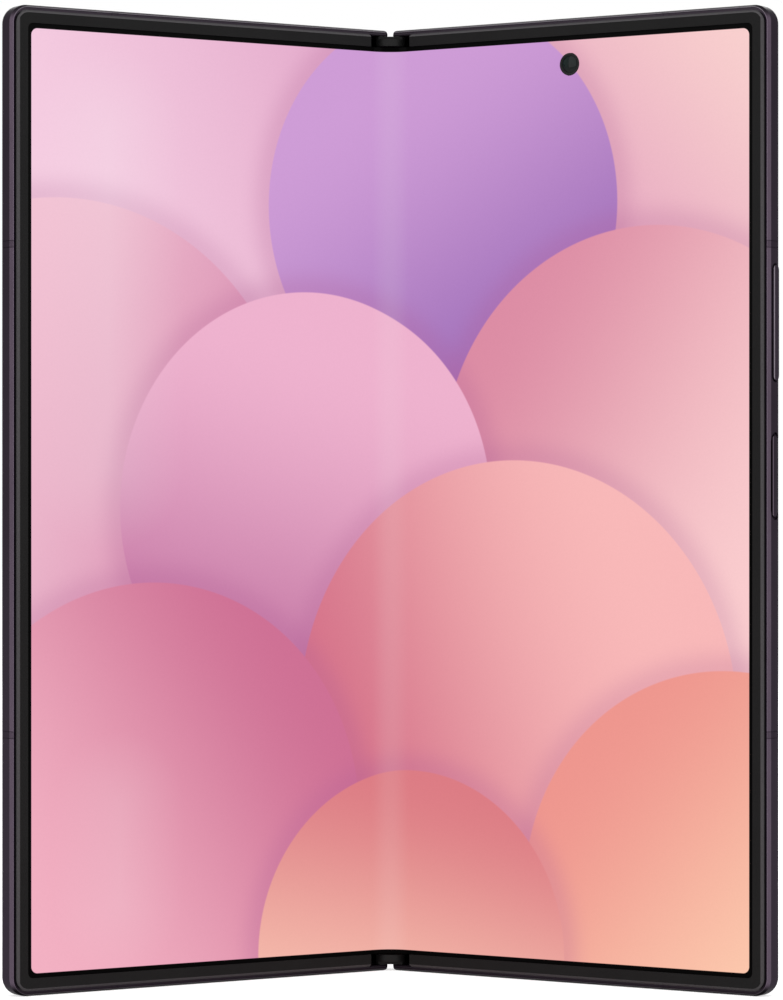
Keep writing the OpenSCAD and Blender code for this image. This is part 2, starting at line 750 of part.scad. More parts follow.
module idler_gears(side) color(steel) on_table() for (upper = [false, true]) unit(upper)
    translate([side * arm_x / 3, gear_y, gear_z])
        gear(gear_teeth, side * fold + (side < 0 ? 180 / gear_teeth : 0));

module sync_arms(side) color(steel) on_table() for (upper = [false, true]) unit(upper)
    translate([side * arm_x, gear_y, 0]) rotate(-side * fold) {
        translate([0, 0, gear_z]) gear(gear_teeth, side > 0 ? 180 / gear_teeth : 0);
        mirror([side < 0 ? 1 : 0, 0, 0]) difference() {
            union() {
                translate([0, 0, gear_z + gear_len]) cylinder(r = hub_r, h = arm_len + 0.2);
                translate([0, arm_y - gear_y, arm_z]) cube([arm_reach - arm_x, arm_t, arm_len]);
            }
            cylinder(r = pin_r + run, h = unit_len);
        }
    }

module gear_pins() color(steel) on_table() for (upper = [false, true], side = [-1, 1]) unit(upper) {
    start = channel + 0.05;
    translate([side * arm_x, gear_y, start])
        cylinder(r = pin_r, h = stay_z + stay_t + stack_len - start);
    translate([side * arm_x / 3, gear_y, start]) cylinder(r = pin_r, h = stay_z + stay_t - start);
}

// Outer supports of the gear pins
module gear_stays() color(steel) on_table() for (upper = [false, true]) unit(upper)
    translate([0, 0, stay_z]) difference() {
        linear_extrude(stay_t) behind(spine_edge + 0.05) spine_outline(block_r);
        for (x = [-arm_x, -arm_x / 3, arm_x / 3, arm_x])
            translate([x, gear_y, -1]) cylinder(r = pin_r + 0.01, h = stay_t + 2);
    }

// Stacks of disc springs on the long pins, which give the hinge its friction
module disc_springs() color(steel) on_table()
    for (upper = [false, true], side = [-1, 1], i = [0:spring_n - 1]) unit(upper)
        translate([side * arm_x, gear_y, stay_z + stay_t + 0.1 + i * (spring_h + 0.2)])
            mirror([0, 0, i % 2]) translate([0, 0, (i % 2) * -spring_h]) difference() {
                cylinder(r1 = spring_r, r2 = 0.5, h = spring_h);
                translate([0, 0, -0.5]) cylinder(r = pin_r + run, h = spring_h + 1);
                translate([0, 0, -0.01]) cylinder(r1 = 0.55, r2 = 0.25, h = spring_h * 0.6);
            }

// ---------------------------------------------------------------- left half

module outer_glass() plate([core_x + 1.4 + fit, half_w - glass_edge - fit], [glass_y, body_t],
    [glass_edge + fit, body_h - glass_edge - fit], corner_r - glass_edge, 0.6);

module cover_glass() color(black) half(-1) difference() {
    outer_glass();
    rod_y(cover_cam_x, cover_cam_z, cover_cam_r + fit, [0, 9]);
}

module cover_panel() color(grey) half(-1) difference() {
    plate([bay_x, bay_end - 0.4], [bay_back - panel_t, bay_back],
        [wall_w + 0.6, body_h - wall_w - 0.6], 1.2, 1.2);
    rod_y(cover_cam_x, cover_cam_z, cover_cam_r + 0.3, [0, 9]);
}

module cover_camera() color(black) half(-1) {
    box([cover_cam_x - 3, cover_cam_x + 3], [bay_front, bay_front + 1], [cover_cam_z - 3, cover_cam_z + 3]);
    rod_y(cover_cam_x, cover_cam_z, cover_cam_r, [bay_front + 0.5, body_t - 0.05]);
}

module left_battery() color(grey) half(-1)
    plate([cell_x, cell_end], [bay_front, bay_back - panel_t - 2 * air],
        [left_cell_z, left_cell_z + left_cell_h], 1.5, 1.5);

module earpiece() color(black) half(-1) difference() {
    box([ear_x - 1, ear_x + 13], [bay_front, bay_front + 1.5],
        [body_h - wall_w - 6.4, body_h - wall_w - 0.2]);
    box([ear_x - 3, ear_x + 8], [bay_front + 0.4, bay_front + 1.1], [body_h - wall_w - 1.2, body_h]);
}

module vibration_motor() color(steel) half(-1)
    plate([bay_end - 14, bay_end - 4], [bay_front, bay_back - panel_t - 0.1],
        [left_board_z + left_board_h + 3, left_board_z + left_board_h + 13], 0.6, 0.6);

module left_board() color([0.09, 0.16, 0.12]) half(-1) {
    plate([cell_x, cell_end], [board_y, board_back], [left_board_z, left_board_z + left_board_h],
        0.6, 0.6);
    for (i = [0:2]) translate([cell_x + chip_w + i * chip_pitch, 0, 0])
        box([0, chip_w], [board_back, board_back + 0.6], [left_board_z + 6, left_board_z + 11]);
}

module tray_slot() {
    slot_z(tray_x, tray_y + tray_t / 2, face_w + 2 * fit, face_h + 2 * fit, [body_h - 1.05, body_h + 1]);
    box([tray_x - tray_w / 2 - 0.15, tray_x + tray_w / 2 + 0.15],
        [tray_y - 0.15, tray_y + tray_t + 0.15], [body_h - wall_w - 1, body_h]);
}

// Card tray: it slides up and out through the top edge
module sim_tray() color(metal) half(-1) difference() {
    union() {
        slot_z(tray_x, tray_y + tray_t / 2, face_w, face_h, [body_h - 1, body_h]);
        box([tray_x - tray_w / 2, tray_x + tray_w / 2], [tray_y, tray_y + tray_t],
            [body_h - tray_len, body_h - 0.5]);
    }
    // Seat for one small card, with a narrow ledge that holds it
    box([tray_x - tray_w / 2 + 0.8, tray_x + tray_w / 2 - 0.8], [tray_y + 0.15, 9],
        [body_h - tray_len + 1, body_h - tray_len + 16]);
    box([tray_x - tray_w / 2 + 2, tray_x + tray_w / 2 - 2], [0, 9],
        [body_h - tray_len + 2.2, body_h - tray_len + 14.8]);
    // Hole for the ejecting pin, beside the blade
    translate([tray_x + tray_w / 2 + 0.2, tray_y + tray_t / 2, body_h - 2]) cylinder(r = 0.4, h = 3);
}

module sim_reader() color(steel) half(-1) difference() {
    box([tray_x - tray_w / 2 - 1, tray_x + tray_w / 2 + 1], [bay_front, tray_y + tray_t + 0.55],
        [tray_stop, body_h - wall_w - 0.1]);
    box([tray_x - tray_w / 2 - 0.2, tray_x + tray_w / 2 + 0.2], [tray_y - 0.2, tray_y + tray_t + 0.2],
        [tray_stop + 1.4, body_h]);
}

// ---------------------------------------------------------------- right half

module rear_glass() color(metal * 0.8) half(1) difference() {
    outer_glass();
    pill_y(rear_x, rear_z, island_w + 2 * fit, island_h + 2 * fit, [0, 9]);
    rod_y(flash_x, flash_z, flash_r + fit, [0, 9]);
}

module flash_lens() color([0.95, 0.93, 0.85]) half(1)
    rod_y(flash_x, flash_z, flash_r, [glass_y - 0.4, body_t]);

module at_lenses() for (i = [-1:1]) translate([0, 0, rear_z + i * lens_pitch]) children();

module camera_island() color(metal) half(1) difference() {
    pill_y(rear_x, rear_z, island_w, island_h, [glass_y + 0.02, body_t + island_up]);
    at_lenses() rod_y(rear_x, 0, lens_r + fit, [0, 20]);
}

module lens_rings() color(steel) half(1) at_lenses() difference() {
    rod_y(rear_x, 0, lens_r, [body_t + 0.3, body_t + island_up + ring_up]);
    rod_y(rear_x, 0, lens_r - ring_w, [0, 20]);
}

module lens_windows() color(black) half(1) at_lenses()
    rod_y(rear_x, 0, lens_r - ring_w, [body_t + island_up - 0.2, body_t + island_up + ring_up - 0.2]);

// Rear camera: square body in the bay and a round barrel in the island
module camera(i, body_w, barrel_r) color(black) half(1) {
    z = rear_z + i * lens_pitch;
    box([rear_x - body_w / 2, rear_x + body_w / 2], [bay_front, bay_back - 0.15],
        [z - body_w / 2, z + body_w / 2]);
    rod_y(rear_x, z, barrel_r, [bay_back - 0.2, body_t + island_up - 0.25]);
}

module inner_camera() color(black) half(1) {
    rod_y(punch_x, punch_z, punch_r - fit, [screen_down + 0.05, web_y + 0.2]);
    rod_y(punch_x, punch_z, punch_r + 0.4, [web_y + 0.05, web_back + 0.2]);
    box([punch_x - 3.2, punch_x + 3.2], [bay_front, bay_back - 0.3],
        [punch_z - 3.2, min(punch_z + 3.2, body_h - wall_w - 0.2)]);
}

module right_battery() color(grey) half(1)
    plate([cell_x, cell_end], [bay_front, bay_back - coil_t - 2 * air],
        [right_cell_z, right_cell_z + right_cell_h], 1.5, 1.5);

module charging_coil() color([0.72, 0.45, 0.2]) half(1)
    translate([(cell_x + cell_end) / 2, bay_back, right_cell_z + right_cell_h / 2])
        rotate([90, 0, 0]) for (i = [0:coil_turns - 1]) difference() {
            cylinder(r = coil_r - i * coil_gap, h = coil_t);
            translate([0, 0, -1]) cylinder(r = coil_r - i * coil_gap - coil_w, h = coil_t + 2);
        }

module main_board() color([0.09, 0.16, 0.12]) half(1) difference() {
    plate([cell_x, board_end], [board_y, board_back], [board_low, board_high], 0.6, 0.6);
    box([punch_x - 3.5, punch_x + 3.5], [0, 9], [punch_z - 3.6, body_h]);
}

module board_shields() color(steel) half(1) {
    y = [board_back, bay_back - 0.15];
    x = cell_x + shield_gap;
    z = board_low + shield_rim;
    plate([x, punch_x - 5], y, [z + shield_h + shield_rim, board_high - shield_rim], 0.8, 0.8);
    plate([x, x + shield_w], y, [z, z + shield_h], 0.8, 0.8);
    plate([x + shield_w + shield_gap, board_end - 5.5], y, [z, z + shield_h], 0.8, 0.8);
}

module port_slot() slot_z(port_x, port_y, port_w + 2 * port_wall + 0.1,
    port_h + 2 * port_wall + 0.04, [-1, port_len + 0.5]);

// Charging port: thin shell, tongue and the rear wall that carries it
module charging_port() color(steel) half(1) {
    difference() {
        slot_z(port_x, port_y, port_w + 2 * port_wall, port_h + 2 * port_wall, [0.25, port_len]);
        slot_z(port_x, port_y, port_w, port_h, [0, port_len - 0.8]);
    }
    box([port_x - 3.3, port_x + 3.3], [port_y - 0.35, port_y + 0.35], [1, port_len - 0.5]);
}

module loudspeaker() color(black) half(1) difference() {
    box([port_x + speaker_gap, speaker_x + 6], [bay_front, bay_back - 0.1], [wall_w + 0.3, wall_w + 16]);
    box([speaker_x - 5, speaker_x + 5], [bay_front + 0.2, bay_front + 1.4], [0, wall_w + 2]);
}

// ---------------------------------------------------------------- keys

module key_slots() {
    seat = [half_w - key_seat, half_w + 1];
    pill_x(seat, key_y, volume_z, key_w + 3 * fit, volume_len + 6 * fit);
    pill_x(seat, key_y, power_z, key_w + 2 * fit, power_len + 2 * fit);
    // Scooped notch round the power key
    pill_x([half_w - power_down, half_w + 1], key_y, power_z, scoop_w, power_len + 2 * scoop_gap);
    for (z = [power_z, volume_z - post_gap, volume_z + post_gap])
        rod_x([half_w - wall_w - 1, half_w], key_y, z, post_r + 0.12);
}

module volume_key() color(metal) half(1) {
    pill_x([half_w - key_in, half_w + volume_up], key_y, volume_z, key_w, volume_len);
    for (z = [-post_gap, post_gap])
        rod_x([post_tip, half_w - key_in + 0.1], key_y, volume_z + z, post_r);
}

module power_key() color(metal * 0.8) half(1) {
    pill_x([half_w - key_in, half_w - 0.1], key_y, power_z, key_w, power_len);
    rod_x([post_tip, half_w - key_in + 0.1], key_y, power_z, post_r);
}

// Flexible strip on the inside of the wall, with a dome under each key post
module key_flex() color([0.75, 0.5, 0.15]) half(1) {
    box([key_flex_x - 0.15, key_flex_x], [key_y - 0.7, key_y + 0.7],
        [power_z - power_len / 2 - 2, volume_z + volume_len / 2 + 2]);
    for (z = [power_z, volume_z - post_gap, volume_z + post_gap])
        rod_x([key_flex_x, dome_tip], key_y, z, post_r);
}

// ---------------------------------------------------------------- magnets

// Magnets that hold the halves shut
module magnets(side) color(steel) half(side) for (z = [12, 60, body_h - 20])
    box([bay_end - 1.5, bay_end - 0.3], [bay_front, bay_front + 1.4], [z, z + 8]);

// ---------------------------------------------------------------- nodes

spine_cover();
spine_caps();
hinge_block(true);  // hinge_block_upper
hinge_block(false);  // hinge_block_lower
gear_pins();
gear_stays();
disc_springs();
block_screws();
centre_plate();
screen_fold();
hinge_flex();
idler_gears(-1);  // idler_gears_left
idler_gears(1);  // idler_gears_right
sync_arms(-1);  // sync_arms_left
sync_arms(1);  // sync_arms_right
left_frame();
right_frame();
bezel(-1);  // left_bezel
bezel(1);  // right_bezel
screen(-1);  // left_screen
screen(1);  // right_screen
screen_plate(-1);  // left_screen_plate
screen_plate(1);  // right_screen_plate
rotator(-1, true);  // left_rotator_upper
rotator(-1, false);  // left_rotator_lower
rotator(1, true);  // right_rotator_upper
rotator(1, false);  // right_rotator_lower
antenna_breaks(-1);  // left_antenna_breaks
antenna_breaks(1);  // right_antenna_breaks
rotator_screws(-1);  // left_screws
rotator_screws(1);  // right_screws
magnets(-1);  // left_magnets
magnets(1);  // right_magnets
left_battery();
right_battery();
cover_glass();
cover_panel();
cover_camera();
earpiece();
vibration_motor();
left_board();
sim_reader();
sim_tray();
rear_glass();
camera_island();
lens_rings();
lens_windows();
camera(0, 13, 4.9);  // main_camera
camera(1, 11, 4.2);  // wide_camera
camera(-1, 12, 4.2);  // zoom_camera
flash_lens();
inner_camera();
main_board();
board_shields();
charging_coil();
charging_port();
loudspeaker();
volume_key();
power_key();
key_flex();
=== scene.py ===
"""Looks of the foldable smartphone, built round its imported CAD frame.

The phone stands half open on its lower edges, with the inner screen facing the
camera. Pieces are drawn in the half's own frame, in millimetres: x runs out from the
fold line, y from the front face to the back face, z up. HalfFrame turns that into
metres in the frame of the CAD.
"""

import logging
import math
from dataclasses import dataclass, field
from enum import Enum
from typing import Callable, Iterable, Optional, Sequence, Union

import bmesh
import bpy
from mathutils import Matrix, Vector

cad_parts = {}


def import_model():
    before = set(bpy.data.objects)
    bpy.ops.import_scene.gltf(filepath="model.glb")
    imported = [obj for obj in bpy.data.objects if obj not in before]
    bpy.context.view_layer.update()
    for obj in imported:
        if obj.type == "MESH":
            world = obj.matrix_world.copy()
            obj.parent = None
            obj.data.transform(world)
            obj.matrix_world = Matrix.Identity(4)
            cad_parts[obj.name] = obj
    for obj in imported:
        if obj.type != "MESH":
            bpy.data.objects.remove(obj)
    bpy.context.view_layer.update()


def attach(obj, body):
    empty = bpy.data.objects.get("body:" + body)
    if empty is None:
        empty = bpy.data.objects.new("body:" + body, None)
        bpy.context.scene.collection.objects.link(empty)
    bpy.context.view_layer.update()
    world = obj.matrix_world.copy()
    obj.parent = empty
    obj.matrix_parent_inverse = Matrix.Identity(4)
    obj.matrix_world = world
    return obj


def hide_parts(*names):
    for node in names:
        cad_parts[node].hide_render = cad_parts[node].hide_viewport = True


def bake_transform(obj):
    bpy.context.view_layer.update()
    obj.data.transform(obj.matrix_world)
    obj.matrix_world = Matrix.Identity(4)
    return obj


LOG = logging.getLogger("phone")
MM = 0.001
Colour = tuple[float, float, float]
Point = tuple[float, float, float]
Span = tuple[float, float]
Node = bpy.types.Node
Socket = bpy.types.NodeSocket
Tree = bpy.types.NodeTree
Material = bpy.types.Material
Input = Union[Socket, float, Sequence[float]]
COLUMN_STEP = 180
ROUND_SIDES = 64
DOME_SIDES = 48
# A face whose normal has this share in a direction looks in it.
FLAT_SHARE = 0.99
# Points closer than this, in millimetres, become one.
MERGE_GAP = 0.004
WHITE: Colour = (1.0, 1.0, 1.0)
BLACK: Colour = (0.0, 0.0, 0.0)


def srgb(red: float, green: float, blue: float) -> Colour:
    """Turn a screen colour into the linear one that Blender uses.

    Args:
        red: Red, 0 to 255.
        green: Green, 0 to 255.
        blue: Blue, 0 to 255.

    Returns:
        The linear colour.
    """
    def one(value: float) -> float:
        """One channel, made linear."""
        share = value / 255
        return share / 12.92 if share <= 0.04045 else ((share + 0.055) / 1.055) ** 2.4
    return one(red), one(green), one(blue)


class Side(Enum):
    """The two halves, as the sign of x in the frame of the CAD."""

    LEFT = -1
    RIGHT = 1

    @property
    def body(self) -> str:
        """Name of the half's CAD body."""
        return self.node("half")

    def node(self, name: str) -> str:
        """Name of this side's CAD node of a pair."""
        return f"{self.name.lower()}_{name}"


class Way(Enum):
    """Directions in a half's own frame."""

    FRONT = (0, -1, 0)
    BACK = (0, 1, 0)

    @property
    def vector(self) -> Vector:
        """The direction as a vector."""
        return Vector(self.value)

    @property
    def turn(self) -> Sequence[float]:
        """The turn that brings an upright axis to this direction."""
        return Vector((0, 0, 1)).rotation_difference(self.vector).to_euler()


@dataclass(frozen=True)
class HalfFrame:
    """Turns a half's own millimetres into metres in the frame of the CAD."""

    fold: float = 32.5
    axis_x: float = 1.4
    axis_y: float = 1.15
    table_y: float = 16.5937
    body_t: float = 4.2
    body_h: float = 158.4
    half_w: float = 72.0

    @property
    def angle(self) -> float:
        """The fold in radians."""
        return math.radians(self.fold)

    @property
    def spread(self) -> float:
        """How much wider a half is than it looks from the front."""
        return 1 / math.cos(self.angle)

    def matrix(self, side: Side) -> Matrix:
        """Matrix that places a piece drawn in a half's own frame.

        Args:
            side: The half that it belongs to. The left one is mirrored.

        Returns:
            The matrix, in metres.
        """
        axis = Vector((self.axis_x, self.axis_y, 0))
        turn = Matrix.Rotation(-self.angle, 4, "Z")
        half = Matrix.Translation(axis) @ turn @ Matrix.Translation(-axis)
        mirror = Matrix.Diagonal((side.value, 1, 1, 1))
        return Matrix.Scale(MM, 4) @ Matrix.Translation((0, self.table_y, 0)) @ mirror @ half

    def front(self, side: Side) -> Point:
        """Direction that a half's front face looks in."""
        return (-side.value * math.sin(self.angle), -math.cos(self.angle), 0)

    def out(self, side: Side) -> Point:
        """Direction from the fold to a half's outer side."""
        return (side.value * math.cos(self.angle), -math.sin(self.angle), 0)


HALF = HalfFrame()


# ---- node graphs


class Graph:
    """A node tree with short calls to add and join its nodes."""

    def __init__(self, tree: Tree) -> None:
        """Take the tree to work on."""
        self.tree = tree
        self.column = 0

    def add(self, kind: str, settings: Optional[dict] = None, **inputs: Input) -> Node:
        """Add a node.

        Args:
            kind: The node's type, without its Shader prefix.
            settings: Properties to set on the node.
            **inputs: Values or sockets by input name, with _ for a space.

        Returns:
            The node.
        """
        node = self.tree.nodes.new(f"ShaderNode{kind}")
        self.column += COLUMN_STEP
        node.location = (self.column, 0)
        for key, value in (settings or {}).items():
            setattr(node, key, value)
        return self.set(node, **inputs)

    def set(self, node: Node, **inputs: Input) -> Node:
        """Give a node's inputs values or sockets.

        Args:
            node: The node.
            **inputs: Values or sockets by input name, with _ for a space.

        Returns:
            The node.
        """
        for key, value in inputs.items():
            self.feed(node.inputs[key.replace("_", " ")], value)
        return node

    def group(self, tree: Tree, **inputs: Input) -> Node:
        """Place a node group, with values or sockets by input name."""
        return self.add("Group", {"node_tree": tree}, **inputs)

    def feed(self, socket: Socket, value: Input) -> None:
        """Join a socket to another, or give it a plain value.

        Args:
            socket: The input to feed.
            value: A socket, a number, a point or a colour.
        """
        if isinstance(value, Socket):
            self.tree.links.new(value, socket)
        else:
            socket.default_value = (*value, 1) if socket.type == "RGBA" else value

    def row(self, node: Node, *values: Input) -> Node:
        """Feed a node's first inputs in their order.

        Args:
            node: The node.
            *values: Values or sockets.

        Returns:
            The node.
        """
        for socket, value in zip(node.inputs, values):
            self.feed(socket, value)
        return node

    def sum(self, operation: str, *values: Input, clamp: bool = False) -> Socket:
        """A Math node on one to three values or sockets."""
        node = self.add("Math", {"operation": operation, "use_clamp": clamp})
        return self.row(node, *values).outputs[0]

    def apart(self, first: Input, second: Input) -> Socket:
        """How far two values lie apart."""
        return self.sum("ABSOLUTE", self.sum("SUBTRACT", first, second))

    def vector(self, operation: str, *values: Input) -> Node:
        """A Vector Math node on vectors or sockets."""
        return self.row(self.add("VectorMath", {"operation": operation}), *values)

    def scaled(self, colour: Input, factor: Input) -> Socket:
        """A colour times a factor."""
        return self.set(self.vector("SCALE", colour), Scale=factor).outputs[0]

    def mix(self, share: Input, first: Input, second: Input) -> Socket:
        """A colour mix.

        Args:
            share: Share of the second colour.
            first: Colour or socket.
            second: Colour or socket.

        Returns:
            The mixed colour.
        """
        node = self.add("Mix", {"data_type": "RGBA"})
        for place, value in ((0, share), (6, first), (7, second)):
            self.feed(node.inputs[place], value)
        return node.outputs[2]

    def ramp(self, value: Input, low: Input, high: Input, start: float = 0.0,
             end: float = 1.0, smooth: bool = True) -> Socket:
        """Map a value from one span to another, held at both ends.

        Args:
            value: The value.
            low: Where the span starts, as a value or a socket.
            high: Where it ends.
            start: The outcome up to low.
            end: The outcome from high on.
            smooth: Whether it starts and ends gently.

        Returns:
            The outcome.
        """
        kind = "SMOOTHSTEP" if smooth else "LINEAR"
        node = self.add("MapRange", {"interpolation_type": kind, "clamp": True})
        return self.row(node, value, low, high, start, end).outputs[0]

    def place(self, scale: Point = (1, 1, 1)) -> Socket:
        """Object coordinates, in millimetres, times a scale."""
        factor = tuple(part / MM for part in scale)
        return self.vector("MULTIPLY", self.add("TexCoord").outputs["Object"], factor).outputs[0]

    def part(self, point: Socket, axis: str) -> Socket:
        """One part of a point, by the name of its axis."""
        return self.add("SeparateXYZ", Vector=point).outputs[axis]

    def half_place(self, side: Side) -> tuple[Socket, Socket]:
        """A point's distance from the fold and its depth, in a half's millimetres.

        Args:
            side: The half.

        Returns:
            The distance and the depth.
        """
        start = tuple(HALF.matrix(side).translation / MM)
        offset = self.vector("SUBTRACT", self.place(), start).outputs[0]
        back = tuple(-part for part in HALF.front(side))
        return tuple(self.vector("DOT_PRODUCT", offset, way).outputs["Value"]
                     for way in (HALF.out(side), back))

    def noise(self, scale: Input, detail: float = 2.0, stretch: Point = (1, 1, 1),
              **inputs: Input) -> Socket:
        """Noise on Object coordinates, with this many lumps a millimetre."""
        return self.add("TexNoise", Vector=self.place(stretch), Scale=scale, Detail=detail,
                        **inputs).outputs[0]


class Group(Graph):
    """A shader node group with named inputs and outputs."""

    def __init__(self, name: str, outputs: Sequence[str], colour: str = "",
                 **inputs: Input) -> None:
        """Start the group.

        Args:
            name: The group's name.
            outputs: Names of the outputs that are numbers.
            colour: Name of the output that is a colour, if there is one.
            **inputs: Start value by input name, with _ for a space: a number, a point, or a
                colour with four parts.
        """
        super().__init__(bpy.data.node_groups.new(name, "ShaderNodeTree"))
        for key, value in inputs.items():
            kind = "Float" if isinstance(value, float) else "Vector" if len(value) == 3 else "Color"
            self.socket(key.replace("_", " "), "INPUT", kind).default_value = value
        for key in outputs:
            self.socket(key, "OUTPUT", "Float")
        if colour:
            self.socket(colour, "OUTPUT", "Color")
        self.take = self.tree.nodes.new("NodeGroupInput").outputs
        self.give = self.tree.nodes.new("NodeGroupOutput").inputs

    def socket(self, name: str, end: str, kind: str) -> bpy.types.NodeTreeInterfaceSocket:
        """Add an input or an output."""
        return self.tree.interface.new_socket(
            name=name, in_out=end, socket_type=f"NodeSocket{kind}")

    def varied(self, share: Socket) -> Socket:
        """Turn a share into a shift round zero, by the group's Amount."""
        return self.sum("MULTIPLY", self.sum("SUBTRACT", share, 0.5), self.take["Amount"])


class Effects:
    """The node groups that more than one finish uses, each built once."""

    def __init__(self) -> None:
        """Build every group."""
        self.grain = self._grain()
        self.rub = self._rub()
        self.facing = self._facing()
        self.window = self._window()
        self.disc = self._disc()

    @staticmethod
    def _grain() -> Tree:
        """Fine even grain, as on blasted metal or moulded plastic.

        Returns:
            The group's tree.
        """
        group = Group("fine_grain", ("Value", "Height"), Scale=8.0, Amount=0.1)
        even = group.ramp(group.noise(group.take["Scale"], 3.0), 0.3, 0.7, smooth=False)
        group.feed(group.give["Value"], group.sum("ADD", group.varied(even), 1.0))
        group.feed(group.give["Height"], even)
        return group.tree

    @staticmethod
    def _rub() -> Tree:
        """Broad faint patches, as a hand leaves on a matt surface.

        Returns:
            The group's tree.
        """
        group = Group("hand_rub", ("Roughness", "Value"), Scale=0.06, Amount=0.1, Level=0.4)
        lumps = group.noise(group.take["Scale"], 4.0, (1, 1, 0.6), Roughness=0.6)
        shift = group.varied(group.ramp(lumps, 0.35, 0.68))
        level = group.sum("ADD", group.take["Level"], shift, clamp=True)
        group.feed(group.give["Roughness"], level)
        group.feed(group.give["Value"], group.sum("ADD", shift, 1.0))
        return group.tree

    @staticmethod
    def _facing() -> Tree:
        """How far a surface looks in one direction of the piece's own frame.

        Returns:
            The group's tree.
        """
        group = Group("facing", ("Mask",), Direction=(0.0, -1.0, 0.0), Low=0.75, High=0.9)
        normal = group.add("TexCoord").outputs["Normal"]
        share = group.vector("DOT_PRODUCT", normal, group.take["Direction"]).outputs["Value"]
        mask = group.ramp(share, group.take["Low"], group.take["High"], smooth=False)
        group.feed(group.give["Mask"], mask)
        return group.tree

    @staticmethod
    def _window() -> Tree:
        """Mask of an upright rectangle with round corners, seen from the front.

        Returns:
            The group's tree.
        """
        group = Group("round_window", ("Mask",), Point=BLACK, Centre=BLACK, Half_width=10.0,
                      Half_height=10.0, Corner=1.0, Soft=0.06)
        take = group.take
        offset = group.vector("SUBTRACT", take["Point"], take["Centre"]).outputs[0]
        away = group.vector("ABSOLUTE", offset).outputs[0]
        squares = []
        for axis, size in (("X", "Half width"), ("Z", "Half height")):
            inner = group.sum("SUBTRACT", take[size], take["Corner"])
            past = group.sum("SUBTRACT", group.part(away, axis), inner)
            over = group.sum("MAXIMUM", past, 0.0)
            squares.append(group.sum("MULTIPLY", over, over))
        distance = group.sum("SQRT", group.sum("ADD", *squares))
        share = group.sum("DIVIDE", group.sum("SUBTRACT", distance, take["Corner"]), take["Soft"])
        group.feed(group.give["Mask"], group.sum("SUBTRACT", 0.5, share, clamp=True))
        return group.tree

    @staticmethod
    def _disc() -> Tree:
        """Lays one disc over a picture, shaded across, with a soft shadow under its edge.

        Returns:
            The group's tree.
        """
        group = Group("shaded_disc", (), "Picture", Picture=(*WHITE, 1), Point=BLACK, Centre=BLACK,
                      Radius=40.0, Light=(*WHITE, 1), Deep=(*BLACK, 1), Shadow=(*BLACK, 1),
                      Lean=(1.0, 0.0, 0.0))
        take = group.take
        offset = group.vector("SUBTRACT", take["Point"], take["Centre"]).outputs[0]
        distance = group.vector("LENGTH", offset).outputs["Value"]
        inside = group.sum("SUBTRACT", take["Radius"], distance)
        lean = group.vector("DOT_PRODUCT", offset, take["Lean"]).outputs["Value"]
        near = group.ramp(inside, -7.0, 0.0, 0.0, 0.34)
        shade = group.sum("MULTIPLY", group.sum("MULTIPLY", near, near), 2.2)
        picture = group.mix(shade, take["Picture"], take["Shadow"])
        along = group.ramp(group.sum("DIVIDE", lean, take["Radius"]), -1.0, 0.75)
        tone = group.mix(along, take["Deep"], take["Light"])
        group.feed(group.give["Picture"], group.mix(group.ramp(inside, 0.0, 0.3), picture, tone))
        return group.tree


# ---- finishes


